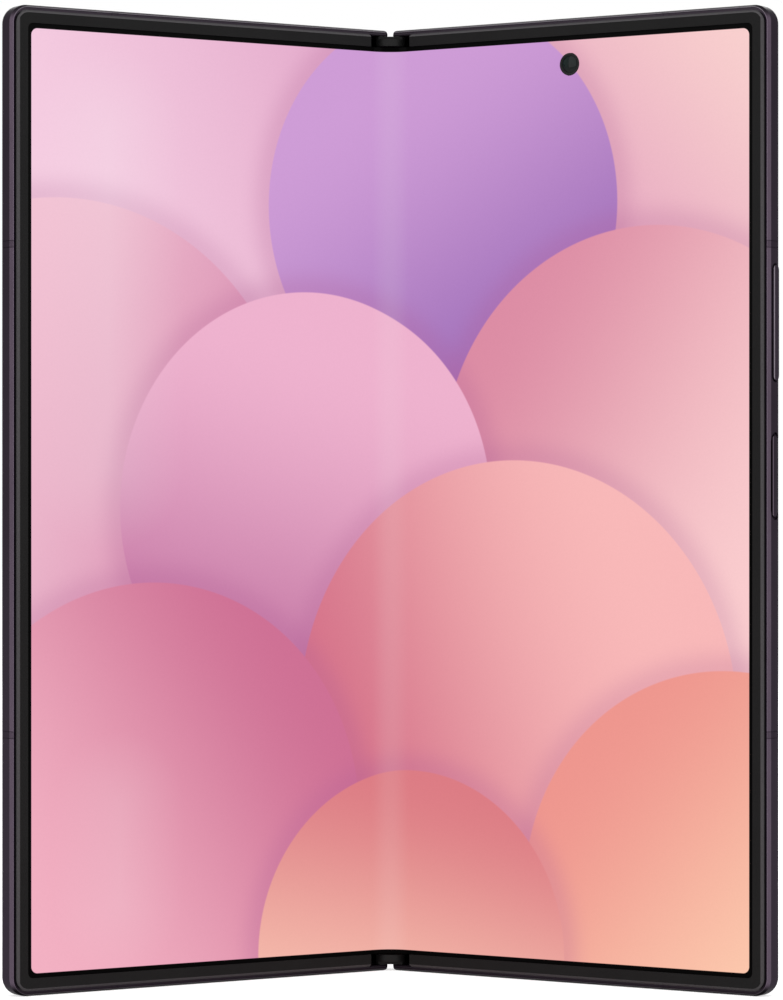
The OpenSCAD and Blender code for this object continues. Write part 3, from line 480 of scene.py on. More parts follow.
class Paint(Graph):
    """A material on the way, with one Principled BSDF."""

    def __init__(self, effects: Effects, name: str) -> None:
        """Start the material.

        Args:
            effects: The shared node groups.
            name: The material's name.
        """
        self.effects = effects
        self.material = bpy.data.materials.new(name)
        self.material.use_nodes = True
        super().__init__(self.material.node_tree)
        self.shader = self.tree.nodes["Principled BSDF"]

    def grain(self, scale: float, amount: float) -> Node:
        """Fine grain, as a value round 1 and as a height."""
        return self.group(self.effects.grain, Scale=scale, Amount=amount)

    def rub(self, scale: float, amount: float, level: float) -> Socket:
        """Feed the roughness with rubbed patches.

        Args:
            scale: Lumps a millimetre.
            amount: How much they differ.
            level: The roughness that they differ from.

        Returns:
            The patches as a value round 1.
        """
        node = self.group(self.effects.rub, Scale=scale, Amount=amount, Level=level)
        self.set(self.shader, Roughness=node.outputs["Roughness"])
        return node.outputs["Value"]

    def facing(self, way: Point, span: Span) -> Socket:
        """Mask of the faces that look one way, by the span of its cosine."""
        low, high = span
        return self.group(self.effects.facing, Direction=way, Low=low, High=high).outputs[0]

    def window(self, point: Socket, x: float, z: float, half: Span, corner: float,
               soft: float = 0.06) -> Socket:
        """Mask of an upright rectangle with round corners.

        Args:
            point: The point on the screen, in millimetres.
            x: Middle of the rectangle, across.
            z: Middle of the rectangle, upwards.
            half: Half of its width and of its height.
            corner: Radius of its corners.
            soft: Width of its soft edge.

        Returns:
            The mask.
        """
        return self.group(self.effects.window, Point=point, Centre=(x, 0, z), Half_width=half[0],
                          Half_height=half[1], Corner=corner, Soft=soft).outputs[0]

    def bump(self, height: Socket, strength: float, depth: float) -> None:
        """Feed the normal from a height, whose 1 stands for this many millimetres."""
        node = self.add("Bump", Strength=strength, Distance=depth * MM, Height=height)
        self.set(self.shader, Normal=node.outputs[0])

    def dye(self, colour: Input, roughness: float) -> None:
        """Finish as blasted and dyed metal.

        Args:
            colour: Its colour.
            roughness: Its roughness.
        """
        grain = self.grain(9.0, 0.16)
        light = self.sum("MULTIPLY", grain.outputs["Value"], self.rub(0.05, 0.12, roughness))
        self.set(self.shader, Base_Color=self.scaled(colour, light), Metallic=1.0,
                 Specular_Tint=(0.5, 0.5, 0.5))
        self.bump(grain.outputs["Height"], 0.12, 0.01)

    def mould(self, colour: Input, scale: float, relief: float, shine: float) -> None:
        """Finish as moulded plastic.

        Args:
            colour: Its colour.
            scale: Lumps of its grain a millimetre.
            relief: Strength of its grain.
            shine: How far it shines.
        """
        grain = self.grain(scale, 0.25)
        self.set(self.shader, Base_Color=self.scaled(colour, grain.outputs["Value"]),
                 Specular_IOR_Level=shine)
        self.bump(grain.outputs["Height"], relief, 0.015)


@dataclass(frozen=True)
class Finish:
    """A finish by its name."""

    name: str

    def make(self, effects: Effects) -> Material:
        """Build the material.

        Args:
            effects: The shared node groups.

        Returns:
            The material.
        """
        paint = Paint(effects, self.name)
        self.apply(paint)
        return paint.material

    def apply(self, paint: Paint) -> None:
        """Dress the material on the way, as each kind of finish does in its own way."""
        raise NotImplementedError


@dataclass(frozen=True)
class AnodisedMetal(Finish):
    """Blasted and dyed aluminium."""

    colour: Colour
    roughness: float = 0.36

    def apply(self, paint: Paint) -> None:
        """Dye the metal in one colour."""
        paint.dye(self.colour, self.roughness)


@dataclass(frozen=True)
class KeyMetal(Finish):
    """Dyed metal of a side key, with a painted highlight line along the front edge of its top, and
    painted shade before it.

    Low and high are the depths behind the front between which the painted highlight line lies.
    """

    colour: Colour
    # Colours of the painted highlight line and of the painted shade before it.
    highlight_line: Colour
    shade: Colour
    low: float
    high: float
    soft: float = 0.04
    roughness: float = 0.34
    top: Span = (0.2, 0.5)

    def apply(self, paint: Paint) -> None:
        """Paint shade on the metal before the line and a highlight on the line, and dye it behind
        it.

        Args:
            paint: The material on the way.
        """
        top = paint.facing(HALF.out(Side.RIGHT), self.top)
        depth = paint.half_place(Side.RIGHT)[1]
        begun = paint.ramp(depth, self.low - self.soft, self.low)
        ended = paint.ramp(depth, self.high, self.high + self.soft, 1.0, 0.0)
        # Painted highlight line, and painted shade before it.
        highlight_line = paint.sum("MULTIPLY", paint.sum("MULTIPLY", begun, ended), top)
        colour = paint.mix(begun, self.shade, self.colour)
        paint.dye(paint.mix(highlight_line, colour, self.highlight_line), self.roughness)


@dataclass(frozen=True)
class Band:
    """Colours of one band round a frame, in which light and shade are painted: on the outer side,
    at the top and at the bottom, which the light reaches differently.
    """

    side: Colour
    top: Colour
    bottom: Colour
    begin: float = 0.9
    end: float = 2.4

    def colour(self, paint: Paint, up: Socket) -> Socket:
        """Colour of the band.

        Args:
            paint: The material on the way.
            up: How high a point lies on the phone.

        Returns:
            The colour.
        """
        high = paint.ramp(up, HALF.body_h - self.end, HALF.body_h - self.begin)
        low = paint.ramp(up, self.begin, self.end, 1.0, 0.0)
        return paint.mix(low, paint.mix(high, self.side, self.top), self.bottom)


@dataclass(frozen=True)
class Pill:
    """Outline with round ends in the outer side: its middle's height, length and width."""

    z: float
    length: float
    width: float
    depth: float = 2.2

    def distance(self, paint: Paint, up: Socket, depth: Socket) -> Socket:
        """Distance of a point from the outline, negative inside it.

        Args:
            paint: The material on the way.
            up: How high the point lies.
            depth: How deep it lies behind the front.

        Returns:
            The distance.
        """
        straight = (self.length - self.width) / 2
        past = paint.sum("SUBTRACT", paint.apart(up, self.z), straight)
        over = paint.sum("MAXIMUM", past, 0.0)
        off = paint.sum("SUBTRACT", depth, self.depth)
        both = paint.sum("ADD", *(paint.sum("MULTIPLY", part, part) for part in (over, off)))
        return paint.sum("SUBTRACT", paint.sum("SQRT", both), self.width / 2)


@dataclass(frozen=True)
class FrameMetal(Finish):
    """Dyed metal of a half's frame, with a painted highlight on the lip and the chamfer, and
    painted shadow in the groove.

    Rims get a dark line of painted shade round them and hollows a floor of painted shade. Dim
    darkens the painted highlight on the lip and the chamfer, and seam draws dark lines along the
    antenna breaks.
    """

    side: Side
    colour: Colour
    # Painted highlight on the chamfer and the lip, and painted shade in the groove, each a band of
    # colours.
    chamfer_highlight: Band
    lip_highlight: Band
    groove_shade: Band
    dim: float = 1.0
    seam: float = 0.0
    rim_shades: tuple[Pill, ...] = ()
    shaded_hollows: tuple[Pill, ...] = ()
    roughness: float = 0.36
    # Facing spans of the painted highlight, and spans of the painted shade on the groove's floor,
    # in hollows and round rims.
    edge: Span = (0.2, 0.38)
    flat: Span = (0.88, 0.95)
    floor: Span = (0.1, 0.16)
    hollow_shade: Span = (-0.06, 0.04)
    hollow_shade_share: float = 0.6
    rim: Span = (0.08, 0.2)
    rim_shade_share: float = 0.75
    break_in: float = 18.8
    break_heights: Span = (41.8, 120.1)
    break_half: Span = (0.44, 0.5)

    def apply(self, paint: Paint) -> None:
        """Dye the outer side, and paint highlight and shade on what lies in front of it.

        Args:
            paint: The material on the way.
        """
        front = HALF.front(self.side)
        edge, flat = paint.facing(front, self.edge), paint.facing(front, self.flat)
        across, depth = paint.half_place(self.side)
        up = paint.part(paint.place(), "Z")
        # The groove's dark colour is the painted shade round rims and in hollows, and the colour of
        # the joint lines along the antenna breaks.
        dark = self.groove_shade.side
        # Painted shade on the groove's floor, and painted highlight on the chamfer and the lip
        # where they face the front.
        deep = paint.sum("MULTIPLY", paint.ramp(depth, *self.floor), flat)
        light_and_shade_bands = paint.mix(edge, BLACK, self.chamfer_highlight.colour(paint, up))
        light_and_shade_bands = paint.mix(flat, light_and_shade_bands, self.lip_highlight.colour(paint, up))
        colour = paint.mix(edge, self.colour, paint.scaled(light_and_shade_bands, self.dim))
        colour = paint.mix(deep, colour, self.groove_shade.colour(paint, up))
        # Painted shade on the floor of each hollow.
        for pill in self.shaded_hollows:
            away = pill.distance(paint, up, depth)
            inside = paint.ramp(away, *self.hollow_shade, self.hollow_shade_share, 0.0)
            colour = paint.mix(inside, colour, dark)
        # Painted shade in a dark line round each rim.
        for pill in self.rim_shades:
            away = paint.sum("ABSOLUTE", pill.distance(paint, up, depth))
            near = paint.ramp(away, *self.rim, self.rim_shade_share, 0.0)
            colour = paint.mix(near, colour, dark)
        if self.seam:
            colour = paint.mix(self.seams(paint, across, up), colour, dark)
        paint.dye(colour, self.roughness)

    def seams(self, paint: Paint, across: Socket, up: Socket) -> Socket:
        """Mask of the thin dark lines along both sides of every antenna break.

        Args:
            paint: The material on the way.
            across: A point's distance from the fold.
            up: How high it lies.

        Returns:
            The mask.
        """
        nearest = paint.apart(across, HALF.half_w - self.break_in)
        for height in self.break_heights:
            nearest = paint.sum("MINIMUM", nearest, paint.apart(up, height))
        return paint.ramp(nearest, *self.break_half, 0.0, self.seam, smooth=False)


@dataclass(frozen=True)
class MouldedPlastic(Finish):
    """Matt moulded plastic with a fine grain."""

    colour: Colour
    roughness: float = 0.6
    shine: float = 0.35
    scale: float = 7.0
    relief: float = 0.25

    def apply(self, paint: Paint) -> None:
        """Mould the plastic in one colour."""
        paint.rub(0.08, 0.12, self.roughness)
        paint.mould(self.colour, self.scale, self.relief, self.shine)


@dataclass(frozen=True)
class BezelPlastic(Finish):
    """Matt plastic of the raised bezel: charcoal front, a painted highlight on the bevel, and
    painted shade on the dark outer wall.

    Soft edge is the distance from the fold beyond which the front is as light as the bevel, a
    painted highlight near the outer edge.
    """

    side: Side
    front: Colour
    bevel: Colour
    wall_shade: Colour = srgb(12, 11, 12)
    soft_edge: Span = (70.5, 70.62)
    edge: Span = (0.25, 0.5)
    flat: Span = (0.8, 0.96)
    out: Span = (0.3, 0.5)
    foot: Span = (0.08, 0.14)
    sheen: float = 0.9

    def apply(self, paint: Paint) -> None:
        """Colour the plastic by the way that it faces, with painted highlight and shade.

        Args:
            paint: The material on the way.
        """
        way = HALF.front(self.side)
        edge, flat = paint.facing(way, self.edge), paint.facing(way, self.flat)
        out = paint.facing(HALF.out(self.side), self.out)
        across, depth = paint.half_place(self.side)
        # Painted shade on the outer wall and its foot, and painted highlight on the bevel.
        shade = paint.sum("MULTIPLY", paint.ramp(depth, *self.foot), out)
        colour = paint.mix(shade, paint.mix(edge, self.wall_shade, self.bevel), self.wall_shade)
        # Painted highlight on the front near its outer edge.
        sheen = paint.ramp(across, *self.soft_edge, 0.0, self.sheen)
        colour = paint.mix(flat, colour, paint.mix(sheen, self.front, self.bevel))
        paint.rub(0.08, 0.1, 0.6)
        paint.mould(colour, 7.0, 0.25, 0.08)


@dataclass(frozen=True)
class MachinedSteel(Finish):
    """Bare metal with the marks of the tool along one direction."""

    colour: Colour = (0.5, 0.5, 0.52)
    roughness: float = 0.32
    stretch: Point = (1.0, 1.0, 0.08)
    dark: float = 0.78

    def apply(self, paint: Paint) -> None:
        """Draw the marks in two tones.

        Args:
            paint: The material on the way.
        """
        share = paint.ramp(paint.noise(14.0, 3.0, self.stretch), 0.3, 0.7, smooth=False)
        dark = tuple(part * self.dark for part in self.colour)
        paint.rub(0.3, 0.16, self.roughness)
        paint.set(paint.shader, Base_Color=paint.mix(share, dark, self.colour), Metallic=1.0)
        paint.bump(share, 0.2, 0.01)


@dataclass(frozen=True)
class Disc:
    """One disc of the wallpaper: middle and radius in millimetres on the screen.

    Light and deep are its colours on the two sides, and lean is the way to the light
    side, in degrees.
    """

    x: float
    z: float
    radius: float
    light: Colour
    deep: Colour
    lean: float


@dataclass(frozen=True)
class Glare:
    """A faint soft patch of light on the screen, in millimetres."""

    x: float
    z: float
    half: Span
    strength: float


@dataclass(frozen=True)
class Display(Finish):
    """Lit inner screen: a generic wallpaper of large shaded discs in a black border, with painted
    glare and a painted highlight along the crease.
    """

    half: Span = (67.97, 75.54)
    middle: float = 79.16
    corner: float = 1.1
    crease_highlight: float = 0.05
    crease_highlight_span: Span = (0.2, 4.2)
    wide: Span = (-70, 70)
    tall: Span = (0, 158)
    shadow: Colour = srgb(176, 96, 150)
    low: tuple[Colour, Colour] = (srgb(228, 158, 172), srgb(244, 180, 164))
    high: tuple[Colour, Colour] = (srgb(232, 184, 206), srgb(222, 172, 206))
    discs: tuple[Disc, ...] = (
        Disc(-40.0, 150.0, 64.0, srgb(246, 206, 226), srgb(222, 158, 196), 200),
        Disc(58.0, 142.0, 46.0, srgb(252, 214, 208), srgb(226, 158, 190), 40),
        Disc(10.0, 128.0, 34.0, srgb(206, 156, 214), srgb(160, 112, 186), 120),
        Disc(-62.0, 84.0, 44.0, srgb(244, 198, 214), srgb(216, 140, 176), 160),
        Disc(50.0, 84.0, 40.0, srgb(250, 204, 206), srgb(220, 140, 164), 330),
        Disc(-16.0, 78.0, 36.0, srgb(238, 178, 206), srgb(196, 118, 164), 75),
        Disc(24.0, 44.0, 42.0, srgb(248, 184, 184), srgb(212, 112, 136), 20),
        Disc(-46.0, 26.0, 40.0, srgb(242, 176, 194), srgb(206, 112, 148), 215),
        Disc(64.0, 14.0, 38.0, srgb(255, 208, 178), srgb(238, 150, 142), 315),
        Disc(4.0, 4.0, 30.0, srgb(250, 196, 178), srgb(220, 124, 132), 260),
    )
    glares: tuple[Glare, ...] = (
        Glare(-54.0, 112.0, (7.0, 34.0), 0.12), Glare(-52.0, 22.0, (6.0, 14.0), 0.08))

    def apply(self, paint: Paint) -> None:
        """Light the picture inside its black border, with painted glare and a painted highlight
        along the crease.

        Args:
            paint: The material on the way.
        """
        point = paint.place((HALF.spread, 0, 1))
        across = paint.part(point, "X")
        picture = self.wallpaper(paint, point, across)
        # Painted reflection: faint soft patches of glare.
        for glare in self.glares:
            reach = glare.half[0]
            soft = paint.window(point, glare.x, glare.z, glare.half, reach, 2 * reach)
            picture = paint.mix(paint.sum("MULTIPLY", soft, glare.strength), picture, WHITE)
        # Painted highlight along the crease at the fold.
        away = paint.sum("ABSOLUTE", across)
        crease_highlight = paint.ramp(away, *self.crease_highlight_span, self.crease_highlight, 0.0)
        picture = paint.mix(crease_highlight, picture, WHITE)
        window = paint.window(point, 0, self.middle, self.half, self.corner)
        paint.rub(0.04, 0.05, 0.14)
        paint.set(paint.shader, Base_Color=(0.001, 0.001, 0.001), Specular_IOR_Level=0.015,
                  Emission_Color=paint.mix(window, BLACK, picture), Emission_Strength=1.0)

    def wallpaper(self, paint: Paint, point: Socket, across: Socket) -> Socket:
        """Draw the wallpaper.

        Args:
            paint: The material on the way.
            point: The point on the screen, in millimetres.
            across: Its distance from the fold, negative on the left.

        Returns:
            The picture's colour.
        """
        share = paint.ramp(across, *self.wide)
        up = paint.ramp(paint.part(point, "Z"), *self.tall)
        picture = paint.mix(up, paint.mix(share, *self.low), paint.mix(share, *self.high))
        for disc in self.discs:
            lean = math.radians(disc.lean)
            picture = paint.group(
                paint.effects.disc, Picture=picture, Point=point, Centre=(disc.x, 0, disc.z),
                Radius=disc.radius, Light=disc.light, Deep=disc.deep, Shadow=self.shadow,
                Lean=(math.cos(lean), 0, math.sin(lean))).outputs[0]
        return paint.scaled(picture, paint.grain(3.0, 0.02).outputs["Value"])


@dataclass(frozen=True)
class DarkGlass(Finish):
    """Dark glass over a display that is off: the display's field is a shade lighter."""

    side: Side
    shift: float = 2.2
    border: Span = (4.8, 3.4)
    corner: float = 2.0
    rim: Colour = srgb(9, 9, 10)
    display: Colour = srgb(17, 17, 20)

    def apply(self, paint: Paint) -> None:
        """Draw the field inside its border.

        Args:
            paint: The material on the way.
        """
        point = paint.place((HALF.spread, 0, 1))
        middle, height = HALF.half_w / 2, HALF.body_h / 2
        half = (middle - self.border[0], height - self.border[1])
        window = paint.window(point, self.side.value * (middle + self.shift), height, half,
                              self.corner)
        paint.rub(0.05, 0.06, 0.07)
        paint.set(paint.shader, Base_Color=paint.mix(window, self.rim, self.display),
                  Specular_IOR_Level=0.4)


@dataclass(frozen=True)
class FrostedGlass(Finish):
    """Etched coloured glass with a fine glitter under it."""

    colour: Colour
    roughness: float = 0.34

    def apply(self, paint: Paint) -> None:
        """Colour the glass and coat it.

        Args:
            paint: The material on the way.
        """
        grain = paint.grain(5.0, 0.3)
        light = paint.sum("MULTIPLY", grain.outputs["Value"], paint.rub(0.03, 0.12, self.roughness))
        paint.set(paint.shader, Base_Color=paint.scaled(self.colour, light), Metallic=0.35,
                  Coat_Weight=0.3, Coat_Roughness=0.25)
        paint.bump(grain.outputs["Height"], 0.08, 0.01)


@dataclass(frozen=True)
class ClearGlass(Finish):
    """Slightly smoked glass with faint wipe marks."""

    colour: Colour = (0.5, 0.5, 0.53)

    def apply(self, paint: Paint) -> None:
        """Make the glass clear."""
        paint.rub(0.2, 0.02, 0.02)
        paint.set(paint.shader, Base_Color=self.colour, Transmission_Weight=1.0, IOR=1.45)


@dataclass(frozen=True)
class CoatedLens(Finish):
    """Front element of a camera, black, with the coloured reflection of its coating painted in
    where it is seen at a slant.
    """

    core: Colour = (0.004, 0.004, 0.006)
    rim: Colour = (0.03, 0.02, 0.06)
    shine: float = 0.7
    second: Colour = (0.01, 0.05, 0.045)

    def apply(self, paint: Paint) -> None:
        """Paint the coating's reflection in two colours over the core, where the lens is seen at a
        slant.

        Args:
            paint: The material on the way.
        """
        # Painted reflection: the coating's colours, stronger at a slant.
        slant_reflection = paint.add("LayerWeight", Blend=0.35).outputs["Facing"]
        rim = paint.mix(paint.ramp(paint.noise(0.4, 1.0), 0.35, 0.65), self.rim, self.second)
        paint.rub(0.5, 0.03, 0.04)
        paint.set(paint.shader, Base_Color=paint.mix(slant_reflection, self.core, rim),
                  Specular_IOR_Level=self.shine)


@dataclass(frozen=True)
class Patches(Finish):
    """Two colours in patches: boards, foil, ribbon and magnets."""

    first: Colour
    second: Colour
    scale: float = 0.6
    stretch: Point = (1.0, 1.0, 1.0)
    roughness: float = 0.4
    metallic: float = 0.0
    span: Span = (0.42, 0.58)

    def apply(self, paint: Paint) -> None:
        """Lay the second colour over the first in patches.

        Args:
            paint: The material on the way.
        """
        share = paint.ramp(paint.noise(self.scale, 2.0, self.stretch), *self.span)
        value = paint.grain(6.0, 0.2).outputs["Value"]
        tone = paint.scaled(paint.mix(share, self.first, self.second), value)
        paint.set(paint.shader, Base_Color=tone, Roughness=self.roughness, Metallic=self.metallic)
        paint.bump(share, 0.2, 0.03)


# ---- modelling


def select_none() -> None:
    """Deselect every object."""
    bpy.ops.object.select_all(action="DESELECT")


def edit_all() -> None:
    """Go to edit mode with the whole mesh selected."""
    bpy.ops.object.mode_set(mode="EDIT")
    bpy.ops.mesh.select_all(action="SELECT")


def edit_done() -> None:
    """Leave edit mode."""
    bpy.ops.object.mode_set(mode="OBJECT")


class Shape:
    """A mesh that is worked on with edit-mode operators, in a half's millimetres."""

    def __init__(self, name: str) -> None:
        """Take the object that an operator has just added.

        Args:
            name: The piece's name.
        """
        self.object = bpy.context.object
        self.object.name = name
        self.object.data.name = name
        bpy.ops.object.transform_apply(location=True, rotation=True, scale=True)

    @classmethod
    def cylinder(cls, name: str, centre: Point, radius: float, length: float, way: Way
                 ) -> "Shape":
        """Start from a cylinder.

        Args:
            name: The piece's name.
            centre: Its middle.
            radius: Its radius.
            length: Its length.
            way: The direction of its axis.

        Returns:
            The shape.
        """
        select_none()
        bpy.ops.mesh.primitive_cylinder_add(
            vertices=ROUND_SIDES, radius=radius, depth=length, location=centre, rotation=way.turn)
        return cls(name)

    @classmethod
    def cube(cls, name: str, low: Point, high: Point) -> "Shape":
        """Start from a box between two corners.

        Args:
            name: The piece's name.
            low: Lowest corner.
            high: Highest corner.

        Returns:
            The shape.
        """
        select_none()
        middle = (Vector(low) + Vector(high)) / 2
        bpy.ops.mesh.primitive_cube_add(size=1, location=middle, scale=Vector(high) - Vector(low))
        return cls(name)

    @classmethod
    def dome(cls, name: str, centre: Point, radius: float, rise: float, way: Way) -> "Shape":
        """A shallow round cap with a flat underside.

        Args:
            name: The piece's name.
            centre: Middle of its flat side.
            radius: Radius of its flat side.
            rise: Its height.
            way: The direction in which it swells.

        Returns:
            The shape.
        """
        select_none()
        bpy.ops.mesh.primitive_uv_sphere_add(
            segments=DOME_SIDES, ring_count=DOME_SIDES // 2, radius=1, location=centre,
            rotation=way.turn, scale=(radius, radius, rise))
        shape = cls(name)
        edit_all()
        bpy.ops.mesh.bisect(plane_co=centre, plane_no=way.vector, clear_inner=True, use_fill=True)
        edit_done()
        return shape

    @classmethod
    def copy_of(cls, node: str, name: str) -> "Shape":
        """Start from a merged copy of a CAD node, with its flat faces whole.

        Args:
            node: The node's name.
            name: The piece's name.

        Returns:
            The shape, in the frame of the CAD.
        """
        select_none()
        made = bpy.data.objects.new(name, bpy.data.objects[node].data.copy())
        bpy.context.scene.collection.objects.link(made)
        bpy.context.view_layer.objects.active = made
        made.select_set(True)
        edit_all()
        bpy.ops.mesh.remove_doubles(threshold=MERGE_GAP * MM)
        bpy.ops.mesh.dissolve_limited(angle_limit=math.radians(1))
        edit_done()
        return cls(name)

    def pick(self, test: Callable[[bmesh.types.BMFace], bool]) -> "Shape":
        """Go to edit mode and select some faces.

        Args:
            test: Whether a face is selected.

        Returns:
            The shape.
        """
        bpy.context.view_layer.objects.active = self.object
        bpy.ops.object.mode_set(mode="EDIT")
        bpy.ops.mesh.select_mode(type="FACE")
        bpy.ops.mesh.select_all(action="DESELECT")
        mesh = bmesh.from_edit_mesh(self.object.data)
        for face in mesh.faces:
            face.select_set(test(face))
        bmesh.update_edit_mesh(self.object.data)
        return self

    def extrude(self, offset: Vector) -> "Shape":
        """Extrude the selected faces by an offset."""
        bpy.ops.mesh.extrude_region_move(TRANSFORM_OT_translate={"value": tuple(offset)})
        return self

    def steps(self, way: Way, steps: Iterable[Span]) -> "Shape":
        """Inset and then move the flat faces that look in one direction, step by step.

        Args:
            way: The direction that a positive move goes in.
            steps: Inset and move of each step.

        Returns:
            The shape.
        """
        self.pick(lambda face: face.normal.dot(way.vector) > FLAT_SHARE)
        for width, move in steps:
            bpy.ops.mesh.inset(thickness=width, depth=0, use_even_offset=True)
            self.extrude(way.vector * move)
        return self

    def bevel(self, width: float, segments: int) -> "Shape":
        """Round every edge sharper than 30 degrees.

        Args:
            width: Width of the round edge.
            segments: Number of its facets.

        Returns:
            The shape.
        """
        self.done()
        made = self.object.modifiers.new("edges", "BEVEL")
        made.width, made.segments = width, segments
        made.limit_method, made.angle_limit = "ANGLE", math.radians(30)
        made.use_clamp_overlap = True
        bpy.ops.object.modifier_apply(modifier=made.name)
        return self

    def done(self) -> "Shape":
        """Leave edit mode and select this shape alone.

        Returns:
            The shape.
        """
        if bpy.context.mode != "OBJECT":
            edit_done()
        select_none()
        self.object.select_set(True)
        bpy.context.view_layer.objects.active = self.object
        return self

    def put(self, matrix: Matrix) -> "Shape":
        """Place the mesh with a matrix and turn its faces outwards.

        Args:
            matrix: The matrix, in metres.

        Returns:
            The shape.
        """
        self.done()
        self.object.matrix_world = matrix
        bpy.ops.object.transform_apply(location=True, rotation=True, scale=True)
        edit_all()
        bpy.ops.mesh.normals_make_consistent(inside=False)
        edit_done()
        return self

    def smooth(self, angle: float = 35) -> "Shape":
        """Shade smooth, but keep the sharp edges.

        Args:
            angle: The least angle of a sharp edge, in degrees.

        Returns:
            The shape.
        """
        self.done()
        bpy.ops.object.shade_smooth_by_angle(angle=math.radians(angle))
        return self

    def join(self, other: "Shape") -> "Shape":
        """Join another shape into this one.

        Args:
            other: The other shape.

        Returns:
            The shape.
        """
        self.done()
        other.object.select_set(True)
        bpy.ops.object.join()
        return self

    def fit(self, material: Material, slot: str, node: str = "", body: str = ""
            ) -> bpy.types.Object:
        """Give the piece its material and its place in the assembly.

        Args:
            material: Its material.
            slot: Name of its slot. Not used.
            node: The CAD node that it stands for, if there is one.
            body: The body that it rides on, if there is one.

        Returns:
            The finished object.
        """
        piece = self.object
        piece.data.materials.clear()
        piece.data.materials.append(material)
        if node:
            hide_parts(node)
        if body:
            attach(piece, body)
        LOG.info("%s: %d faces", piece.name, len(piece.data.polygons))
        return piece


# ---- sub-assemblies


@dataclass
class Palette:
    """The colours of the phone's outside."""

    side: Colour = srgb(50, 43, 52)
    # The chamfer and lip bands hold painted highlight and the groove band painted shade; bevel is
    # the bezel's painted highlight.
    chamfer_highlight: Band = Band(srgb(80, 69, 81), srgb(36, 32, 37), srgb(21, 19, 22))
    lip_highlight: Band = Band(srgb(99, 88, 101), srgb(100, 94, 101), srgb(62, 57, 63))
    groove_shade: Band = Band(srgb(14, 9, 17), srgb(44, 39, 45), srgb(34, 29, 35))
    back: Colour = srgb(58, 49, 61)
    charcoal: Colour = srgb(25, 25, 25)
    bevel: Colour = srgb(78, 76, 78)
    break_side: Colour = srgb(48, 41, 50)


@dataclass
class Assembly:
    """A sub-assembly of the phone."""

    effects: Effects
    palette: Palette = field(default_factory=Palette)

    def dress(self, finish: Finish, *nodes: str) -> Material:
        """Give CAD nodes a material by way of their objects' slots.

        Args:
            finish: The finish.
            *nodes: Names of the nodes.

        Returns:
            The material.
        """
        material = finish.make(self.effects)
        for node in nodes:
            target = bpy.data.objects[node]
            if not target.material_slots:
                target.data.materials.append(material)
            for slot in target.material_slots:
                slot.material = material
            LOG.info("%s: %s", node, material.name)
        return material

    @staticmethod
    def both(*names: str) -> list[str]:
        """Names of the nodes of both sides, of one or more pairs."""
        return [side.node(name) for name in names for side in Side]


@dataclass
class Body(Assembly):
    """The two metal frames, the antenna breaks and the raised screen bezels."""

    # Outlines of the painted shade round the key slots and in the power key's scoop.
    key_slots: tuple[Pill, ...] = (Pill(107.6, 18.8, 1.95), Pill(83.1, 13.1, 1.9))
    scoop: Pill = Pill(83.1, 14.0, 3.1)

    def build(self) -> None:
        """Dress the CAD nodes of both halves."""
        tone = self.palette
        # Bands of painted highlight on the chamfer and the lip, and of painted shade in the groove.
        light_and_shade_bands = (tone.chamfer_highlight, tone.lip_highlight, tone.groove_shade)
        for side in Side:
            keyed = side is Side.RIGHT
            self.dress(FrameMetal(side.node("frame_metal"), side, tone.side, *light_and_shade_bands,
                                  rim_shades=self.key_slots if keyed else (),
                                  shaded_hollows=(self.scoop,) if keyed else ()), side.node("frame"))
            self.dress(BezelPlastic(side.node("bezel_plastic"), side, tone.charcoal, tone.bevel),
                       side.node("bezel"))
            self.dress(FrameMetal(side.node("break_plastic"), side, tone.break_side, *light_and_shade_bands,
                                  dim=0.75, seam=0.6), side.node("antenna_breaks"))


@dataclass(frozen=True)
class Bend:
    """A strip that bends round the hinge and may run on straight in each half.

    Millimetres: the radius is that of its front face, and low and high are its ends.
    """

    name: str
    node: str
    radius: float
    thickness: float
    low: float
    high: float
    straight: float = 0.0
    centre: float = -5.32823
    facets: int = 16
    gap: float = 0.001

    def make(self, side: Side, material: Material, slot: str) -> None:
        """Model one side of the strip, from the fold line outwards.

        Args:
            side: The side.
            material: The strip's material.
            slot: Name of its slot.
        """
        middle = self.centre + HALF.table_y
        core = self.radius + self.thickness / 2
        select_none()
        bpy.ops.mesh.primitive_plane_add(
            size=1, location=(0, middle + core, (self.low + self.high) / 2),
            rotation=(0, math.pi / 2, 0))
        bpy.context.object.scale = (self.high - self.low, self.thickness, 1)
        strip = Shape(f"{self.name}_{side.name.lower()}")
        edit_all()
        bpy.ops.mesh.spin(steps=self.facets, angle=side.value * HALF.angle,
                          center=(0, middle, 0), axis=(0, 0, 1), dupli=False)
        if self.straight:
            strip.extrude(Vector(HALF.out(side)) * self.straight)
        bpy.ops.mesh.select_all(action="SELECT")
        bpy.ops.mesh.remove_doubles(threshold=self.gap)
        made = strip.put(Matrix.Scale(MM, 4)).smooth().fit(material, slot, self.node)
        side.body
        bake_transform(made)


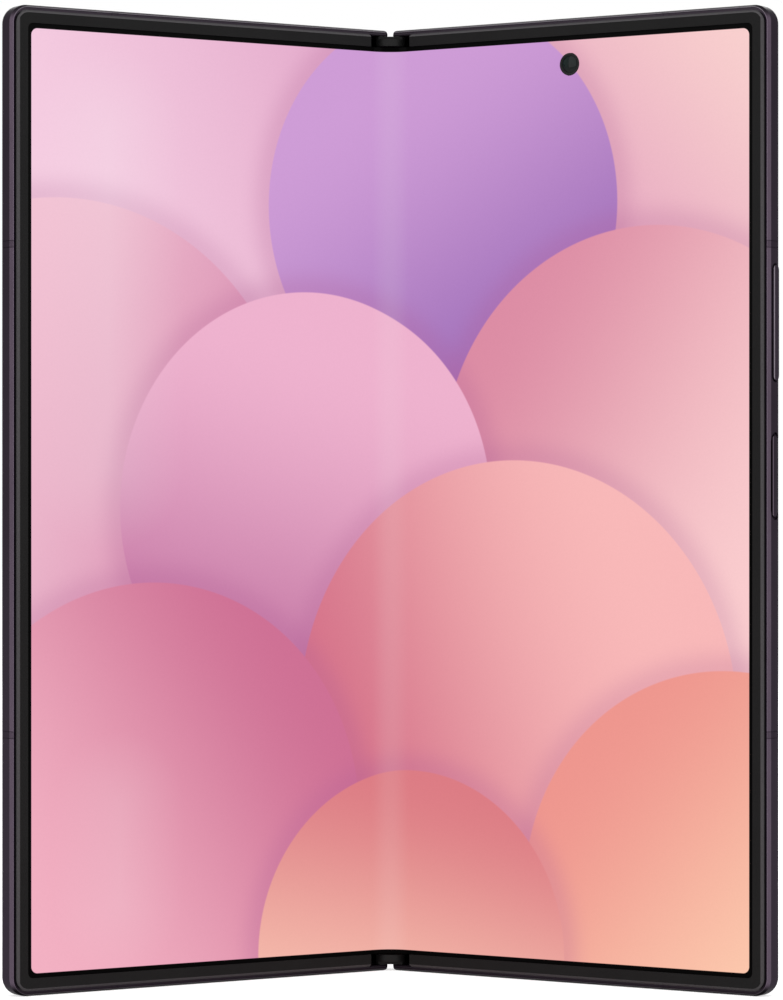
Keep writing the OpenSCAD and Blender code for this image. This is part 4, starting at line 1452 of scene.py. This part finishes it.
@dataclass
class InnerScreen(Assembly):
    """The bending inner screen: two flat parts and the fold between them."""

    bend: Bend = Bend("screen_fold", "screen_fold", 5.2159, 0.6, 2.95, 155.45)
    lens_x: float = 35.2
    lens_z: float = 150.8
    tube_r: float = 1.85
    tube_y: float = 1.15
    tube_l: float = 1.9
    lens_r: float = 1.5
    lens_y: float = 0.5
    lens_rise: float = 0.26
    tube_steps: tuple[Span, ...] = ((0.32, -0.12), (0.12, -0.15), (0.2, -0.1))

    def build(self) -> None:
        """Dress the flat parts and model the fold."""
        picture = self.dress(Display("inner_display"), *self.both("screen"))
        for side in Side:
            self.bend.make(side, picture, "inner_screen")
        self.camera()

    def camera(self) -> None:
        """Model the camera in the round hole of the right half."""
        place, body = HALF.matrix(Side.RIGHT), Side.RIGHT.body
        black = self.dress(MouldedPlastic("lens_black", srgb(9, 9, 9), 0.45, 0.2, 9.0, 0.1))
        tube = Shape.cylinder("inner_camera_tube", (self.lens_x, self.tube_y, self.lens_z),
                              self.tube_r, self.tube_l, Way.FRONT)
        tube.steps(Way.FRONT, self.tube_steps)
        tube.bevel(0.03, 2).put(place).smooth().fit(black, "camera_black", "inner_camera", body)
        coat = CoatedLens("inner_lens_coating", srgb(22, 27, 26), srgb(40, 34, 38), 0.1)
        lens = Shape.dome("inner_camera_lens", (self.lens_x, self.lens_y, self.lens_z), self.lens_r,
                          self.lens_rise, Way.FRONT)
        lens.put(place).smooth(60).fit(self.dress(coat), "lens_glass", body=body)


RIBBON = ((0.42, 0.2, 0.03), (0.55, 0.3, 0.06), 2.5, (1, 1, 0.05), 0.35)


@dataclass
class Spine(Assembly):
    """The spine: outer cover, end caps and the works of the hinge."""

    ribbon: Bend = Bend("hinge_ribbon", "hinge_flex", 6.5659, 0.1, 104.0, 112.0, 11.1)
    cap: Colour = srgb(34, 34, 34)

    def build(self) -> None:
        """Dress the spine's nodes and model the ribbon through it."""
        even = (1, 1, 1)
        for finish, nodes in (
                (AnodisedMetal("spine_metal", self.palette.side), ("spine_cover",)),
                (MouldedPlastic("cap_plastic", self.cap, 0.5, 0.08), ("spine_caps",)),
                (MachinedSteel("hinge_steel"), ("hinge_block_upper", "hinge_block_lower",
                                                "gear_stays", *self.both("rotator_upper",
                                                                         "rotator_lower"))),
                (MachinedSteel("gear_steel", (0.44, 0.44, 0.46), 0.28, (1, 1, 0.2)),
                 ("sync_arms_left", "sync_arms_right", "idler_gears_left", "idler_gears_right")),
                (MachinedSteel("spring_steel", (0.36, 0.37, 0.4), 0.3, even), ("disc_springs",)),
                (MachinedSteel("pin_steel", (0.55, 0.55, 0.57), 0.22, (1, 1, 0.1)),
                 ("gear_pins",)),
                (MachinedSteel("screw_steel", (0.3, 0.3, 0.32), 0.35, even),
                 ("block_screws", *self.both("screws"))),
                (MachinedSteel("plate_steel", (0.48, 0.48, 0.49), 0.38),
                 ("centre_plate", *self.both("screen_plate")))):
            self.dress(finish, *nodes)
        film = self.dress(Patches("ribbon_film", *RIBBON))
        for side in Side:
            self.ribbon.make(side, film, "flex_ribbon")


@dataclass(frozen=True)
class RearCamera:
    """One camera: its node and row, half its body's width, and the radii of barrel and lens."""

    node: str
    row: int
    half: float
    radius: float
    pupil: float


@dataclass
class RearCameras(Assembly):
    """The camera island on the back of the right half."""

    x: float = 58.0
    z: float = 127.5
    pitch: float = 15.5
    island_up: float = 1.8
    window_t: float = 0.25
    body_y: Span = (1.5, 3.5)
    lens_down: float = 1.27
    lens_rise: float = 0.7
    rim: Span = (0.3, -0.25)
    drops: tuple[float, ...] = (-0.35, -0.35, -0.3)
    sink: float = 0.1
    cameras: tuple[RearCamera, ...] = (
        RearCamera("zoom_camera", -1, 6.0, 4.2, 1.9), RearCamera("main_camera", 0, 6.5, 4.9, 3.1),
        RearCamera("wide_camera", 1, 5.5, 4.2, 2.4))

    def build(self) -> None:
        """Round the island's edges and model what is behind each window."""
        self.island()
        black = self.dress(MouldedPlastic("barrel_black", srgb(12, 12, 13), 0.4, 0.3, 9.0, 0.1))
        lens = self.dress(CoatedLens("lens_coating"))
        self.dress(ClearGlass("lens_glass"), "lens_windows")
        for camera in self.cameras:
            self.camera(camera, black, lens)

    def island(self) -> None:
        """Model the island and the lens rings with rounded edges."""
        for node, name, finish, width in (
                ("camera_island", "island_shell",
                 AnodisedMetal("island_metal", srgb(60, 52, 63), 0.32), 0.45),
                ("lens_rings", "ring_shells",
                 AnodisedMetal("ring_metal", srgb(88, 78, 92), 0.2), 0.15)):
            shape = Shape.copy_of(node, name).bevel(width * MM, 4).smooth(30)
            shape.fit(self.dress(finish), finish.name, node, Side.RIGHT.body)

    def camera(self, camera: RearCamera, black: Material, coating: Material) -> None:
        """Model one camera: its square body, the stepped barrel and the front lens.

        Args:
            camera: The camera.
            black: Material of its body.
            coating: Material of its front lens.
        """
        place, ride = HALF.matrix(Side.RIGHT), Side.RIGHT.body
        node, half = camera.node, camera.half
        front, back = self.body_y
        z = self.z + camera.row * self.pitch
        top = HALF.body_t + self.island_up - self.window_t
        body = Shape.cube(f"{node}_body", (self.x - half, front, z - half),
                          (self.x + half, back, z + half)).bevel(0.3, 2)
        barrel = Shape.cylinder(f"{node}_barrel", (self.x, (back + top) / 2 - self.sink, z),
                                camera.radius, top - back + 2 * self.sink, Way.BACK)
        step = (camera.radius - camera.pupil - self.rim[0]) / len(self.drops)
        barrel.steps(Way.BACK, [self.rim, *((step, drop) for drop in self.drops)])
        body.join(barrel.bevel(0.04, 2)).put(place).smooth().fit(black, "camera_black", node, ride)
        lens = Shape.dome(f"{node}_lens", (self.x, top - self.lens_down, z), camera.pupil,
                          self.lens_rise, Way.BACK)
        lens.put(place).smooth(60).fit(coating, "lens_glass", body=ride)


@dataclass
class Covers(Assembly):
    """The two outer glasses, the cover display's camera and the flash."""

    def build(self) -> None:
        """Dress the outer glasses and what lies just behind them."""
        self.dress(DarkGlass("cover_glass", Side.LEFT), "cover_glass")
        self.dress(FrostedGlass("rear_glass", self.palette.back), "rear_glass")
        self.dress(MouldedPlastic("flash_lens", srgb(236, 228, 196), 0.25, 0.5, 3.0, 0.4),
                   "flash_lens")
        self.dress(MouldedPlastic("panel_black", srgb(20, 20, 22), 0.4), "cover_panel")
        self.dress(MouldedPlastic("camera_black", srgb(14, 14, 15), 0.4), "cover_camera")


@dataclass
class Edges(Assembly):
    """Keys, charging port and card tray in the frame's edges."""

    edge: float = 0.2

    def build(self) -> None:
        """Model the keys with rounded edges and dress the port and the tray."""
        side = self.palette.side
        # Rows: node, tone, colour of the painted highlight line, colour of the painted shade before
        # it, and the depths of the line.
        for node, tone, highlight_line, shade, low, high in (
                ("volume_key", 1.1, srgb(134, 126, 135), side, 1.36, 1.64),
                ("power_key", 1.0, srgb(102, 91, 103), srgb(24, 19, 25), 1.54, 1.8)):
            colour = tuple(part * tone for part in side)
            metal = self.dress(KeyMetal(f"{node}_metal", colour, highlight_line, shade, low, high))
            shape = Shape.copy_of(node, f"{node}_cap").bevel(self.edge * MM, 3).smooth(30)
            shape.fit(metal, "key_metal", node, node)
        self.dress(AnodisedMetal("tray_metal", side), "sim_tray")
        self.dress(MachinedSteel("port_steel", (0.4, 0.4, 0.41), 0.3, (1, 1, 0.1)),
                   "charging_port")


@dataclass
class Inside(Assembly):
    """What the covers hide: boards, batteries, sound and power parts."""

    def build(self) -> None:
        """Dress the inner nodes."""
        lines = (1, 1, 0.1)
        for finish, nodes in (
                (Patches("circuit_board", (0.008, 0.035, 0.02), (0.012, 0.06, 0.032), 1.4,
                         roughness=0.45), ("left_board", "main_board")),
                (Patches("cell_foil", (0.03, 0.03, 0.033), (0.045, 0.045, 0.05), 0.25,
                         roughness=0.3, metallic=0.4), self.both("battery")),
                (Patches("flex_ribbon", *RIBBON), ("key_flex",)),
                (Patches("magnet", (0.4, 0.4, 0.42), (0.55, 0.55, 0.57), 0.8, metallic=1.0),
                 self.both("magnets")),
                (MachinedSteel("coil_copper", (0.6, 0.27, 0.12), 0.3, (1, 1, 1)),
                 ("charging_coil",)),
                (MachinedSteel("shield_steel", (0.5, 0.5, 0.51), 0.36, lines), ("board_shields",)),
                (MachinedSteel("motor_steel", (0.42, 0.42, 0.44), 0.3, lines),
                 ("vibration_motor",)),
                (MachinedSteel("reader_steel", (0.5, 0.5, 0.5), 0.35, lines), ("sim_reader",)),
                (MouldedPlastic("module_black", srgb(22, 22, 23), 0.5),
                 ("earpiece", "loudspeaker"))):
            self.dress(finish, *nodes)


# ---- studio


@dataclass(frozen=True)
class Softbox:
    """A rectangular lamp, aimed at the phone. Sizes in metres, power in watts."""

    name: str
    place: Point
    width: float
    height: float
    power: float


@dataclass
class Studio:
    """Pale floor, soft lamps, white surroundings and the camera."""

    lens: float = 147.6
    sensor: float = 36.0
    camera_place: Point = (0.0002, -0.674, 0.07928)
    target: Point = (0.0, 0.0, 0.08)
    ambient: float = 0.55
    floor_lift: float = 0.62
    floor_size: float = 8.0
    floor_tones: tuple[Colour, Colour] = ((0.8, 0.8, 0.8), (0.83, 0.83, 0.83))
    lamps: tuple[Softbox, ...] = (
        Softbox("lamp_left", (-0.85, -0.75, 0.55), 0.7, 0.9, 3.4),
        Softbox("lamp_right", (0.85, -0.75, 0.55), 0.7, 0.9, 3.4),
        Softbox("lamp_top", (0.0, -0.1, 1.1), 0.9, 0.6, 4.0),
        Softbox("lamp_back", (0.0, 0.95, 0.6), 0.9, 0.7, 3.0),
    )

    def build(self) -> None:
        """Make the floor, the surroundings, the lamps and the camera."""
        self.world()
        self.floor()
        for lamp in self.lamps:
            self.lamp(lamp)
        self.camera()

    @staticmethod
    def seen(graph: Graph, hidden: float, shown: float) -> Socket:
        """A strength that depends on the kind of ray.

        Args:
            graph: The node tree.
            hidden: Strength for the rays that light the phone.
            shown: Strength for rays that show the background: camera, mirror and glass rays.

        Returns:
            The strength.
        """
        path = graph.add("LightPath").outputs
        first = graph.sum("MAXIMUM", path["Is Camera Ray"], path["Is Glossy Ray"])
        both = graph.sum("MAXIMUM", first, path["Is Transmission Ray"])
        return graph.ramp(both, 0, 1, hidden, shown, smooth=False)

    def world(self) -> None:
        """White where it is seen, and dimmer as a light."""
        world = bpy.data.worlds.new("studio")
        bpy.context.scene.world = world
        world.use_nodes = True
        graph = Graph(world.node_tree)
        graph.set(world.node_tree.nodes["Background"], Color=WHITE,
                  Strength=self.seen(graph, self.ambient, 1.0))

    def floor(self) -> None:
        """A wide pale floor that keeps the phone's shadow."""
        select_none()
        bpy.ops.mesh.primitive_plane_add(size=self.floor_size, location=(0, 0, 0))
        floor = bpy.context.object
        floor.name = "floor"
        made = bpy.data.materials.new("floor")
        made.use_nodes = True
        graph, nodes = Graph(made.node_tree), made.node_tree.nodes
        cloud = graph.ramp(graph.noise(0.004, 2.0), 0.3, 0.7)
        shader = graph.set(
            nodes["Principled BSDF"], Roughness=0.9, Specular_IOR_Level=0.0,
            Base_Color=graph.mix(cloud, *self.floor_tones))
        glow = graph.add("Emission", Color=WHITE, Strength=self.seen(graph, 0.0, self.floor_lift))
        both = graph.row(graph.add("AddShader"), shader.outputs[0], glow.outputs[0])
        graph.set(nodes["Material Output"], Surface=both.outputs[0])
        floor.data.materials.append(made)

    @staticmethod
    def hang(name: str, data: bpy.types.ID, place: Point) -> bpy.types.Object:
        """Put a lamp or a camera in the scene.

        Args:
            name: The object's name.
            data: The lamp or the camera.
            place: Where it hangs.

        Returns:
            The object.
        """
        made = bpy.data.objects.new(name, data)
        bpy.context.scene.collection.objects.link(made)
        made.location = place
        return made

    def lamp(self, lamp: Softbox) -> None:
        """Hang one lamp and aim it at the phone.

        Args:
            lamp: The lamp.
        """
        data = bpy.data.lights.new(lamp.name, "AREA")
        data.shape, data.energy = "RECTANGLE", lamp.power
        data.size, data.size_y = lamp.width, lamp.height
        aim = Vector(self.target) - Vector(lamp.place)
        made = self.hang(lamp.name, data, lamp.place)
        made.rotation_euler = aim.to_track_quat("-Z", "Y").to_euler()

    def camera(self) -> None:
        """Set the camera where the photograph was taken."""
        data = bpy.data.cameras.new("camera")
        data.sensor_fit, data.sensor_height, data.lens = "VERTICAL", self.sensor, self.lens
        data.clip_start, data.clip_end = 0.01, 100
        made = self.hang("camera", data, self.camera_place)
        made.rotation_euler = (math.pi / 2, 0, 0)
        bpy.context.scene.camera = made


def main() -> None:
    """Build the scene round the CAD frame."""
    logging.basicConfig(level=logging.INFO, format="%(name)s %(message)s")
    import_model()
    bpy.context.scene.view_settings.view_transform = "Standard"
    Studio().build()
    effects = Effects()
    for kind in (Body, InnerScreen, Spine, RearCameras, Covers, Edges, Inside):
        kind(effects).build()


if __name__ == "__main__":
    main()
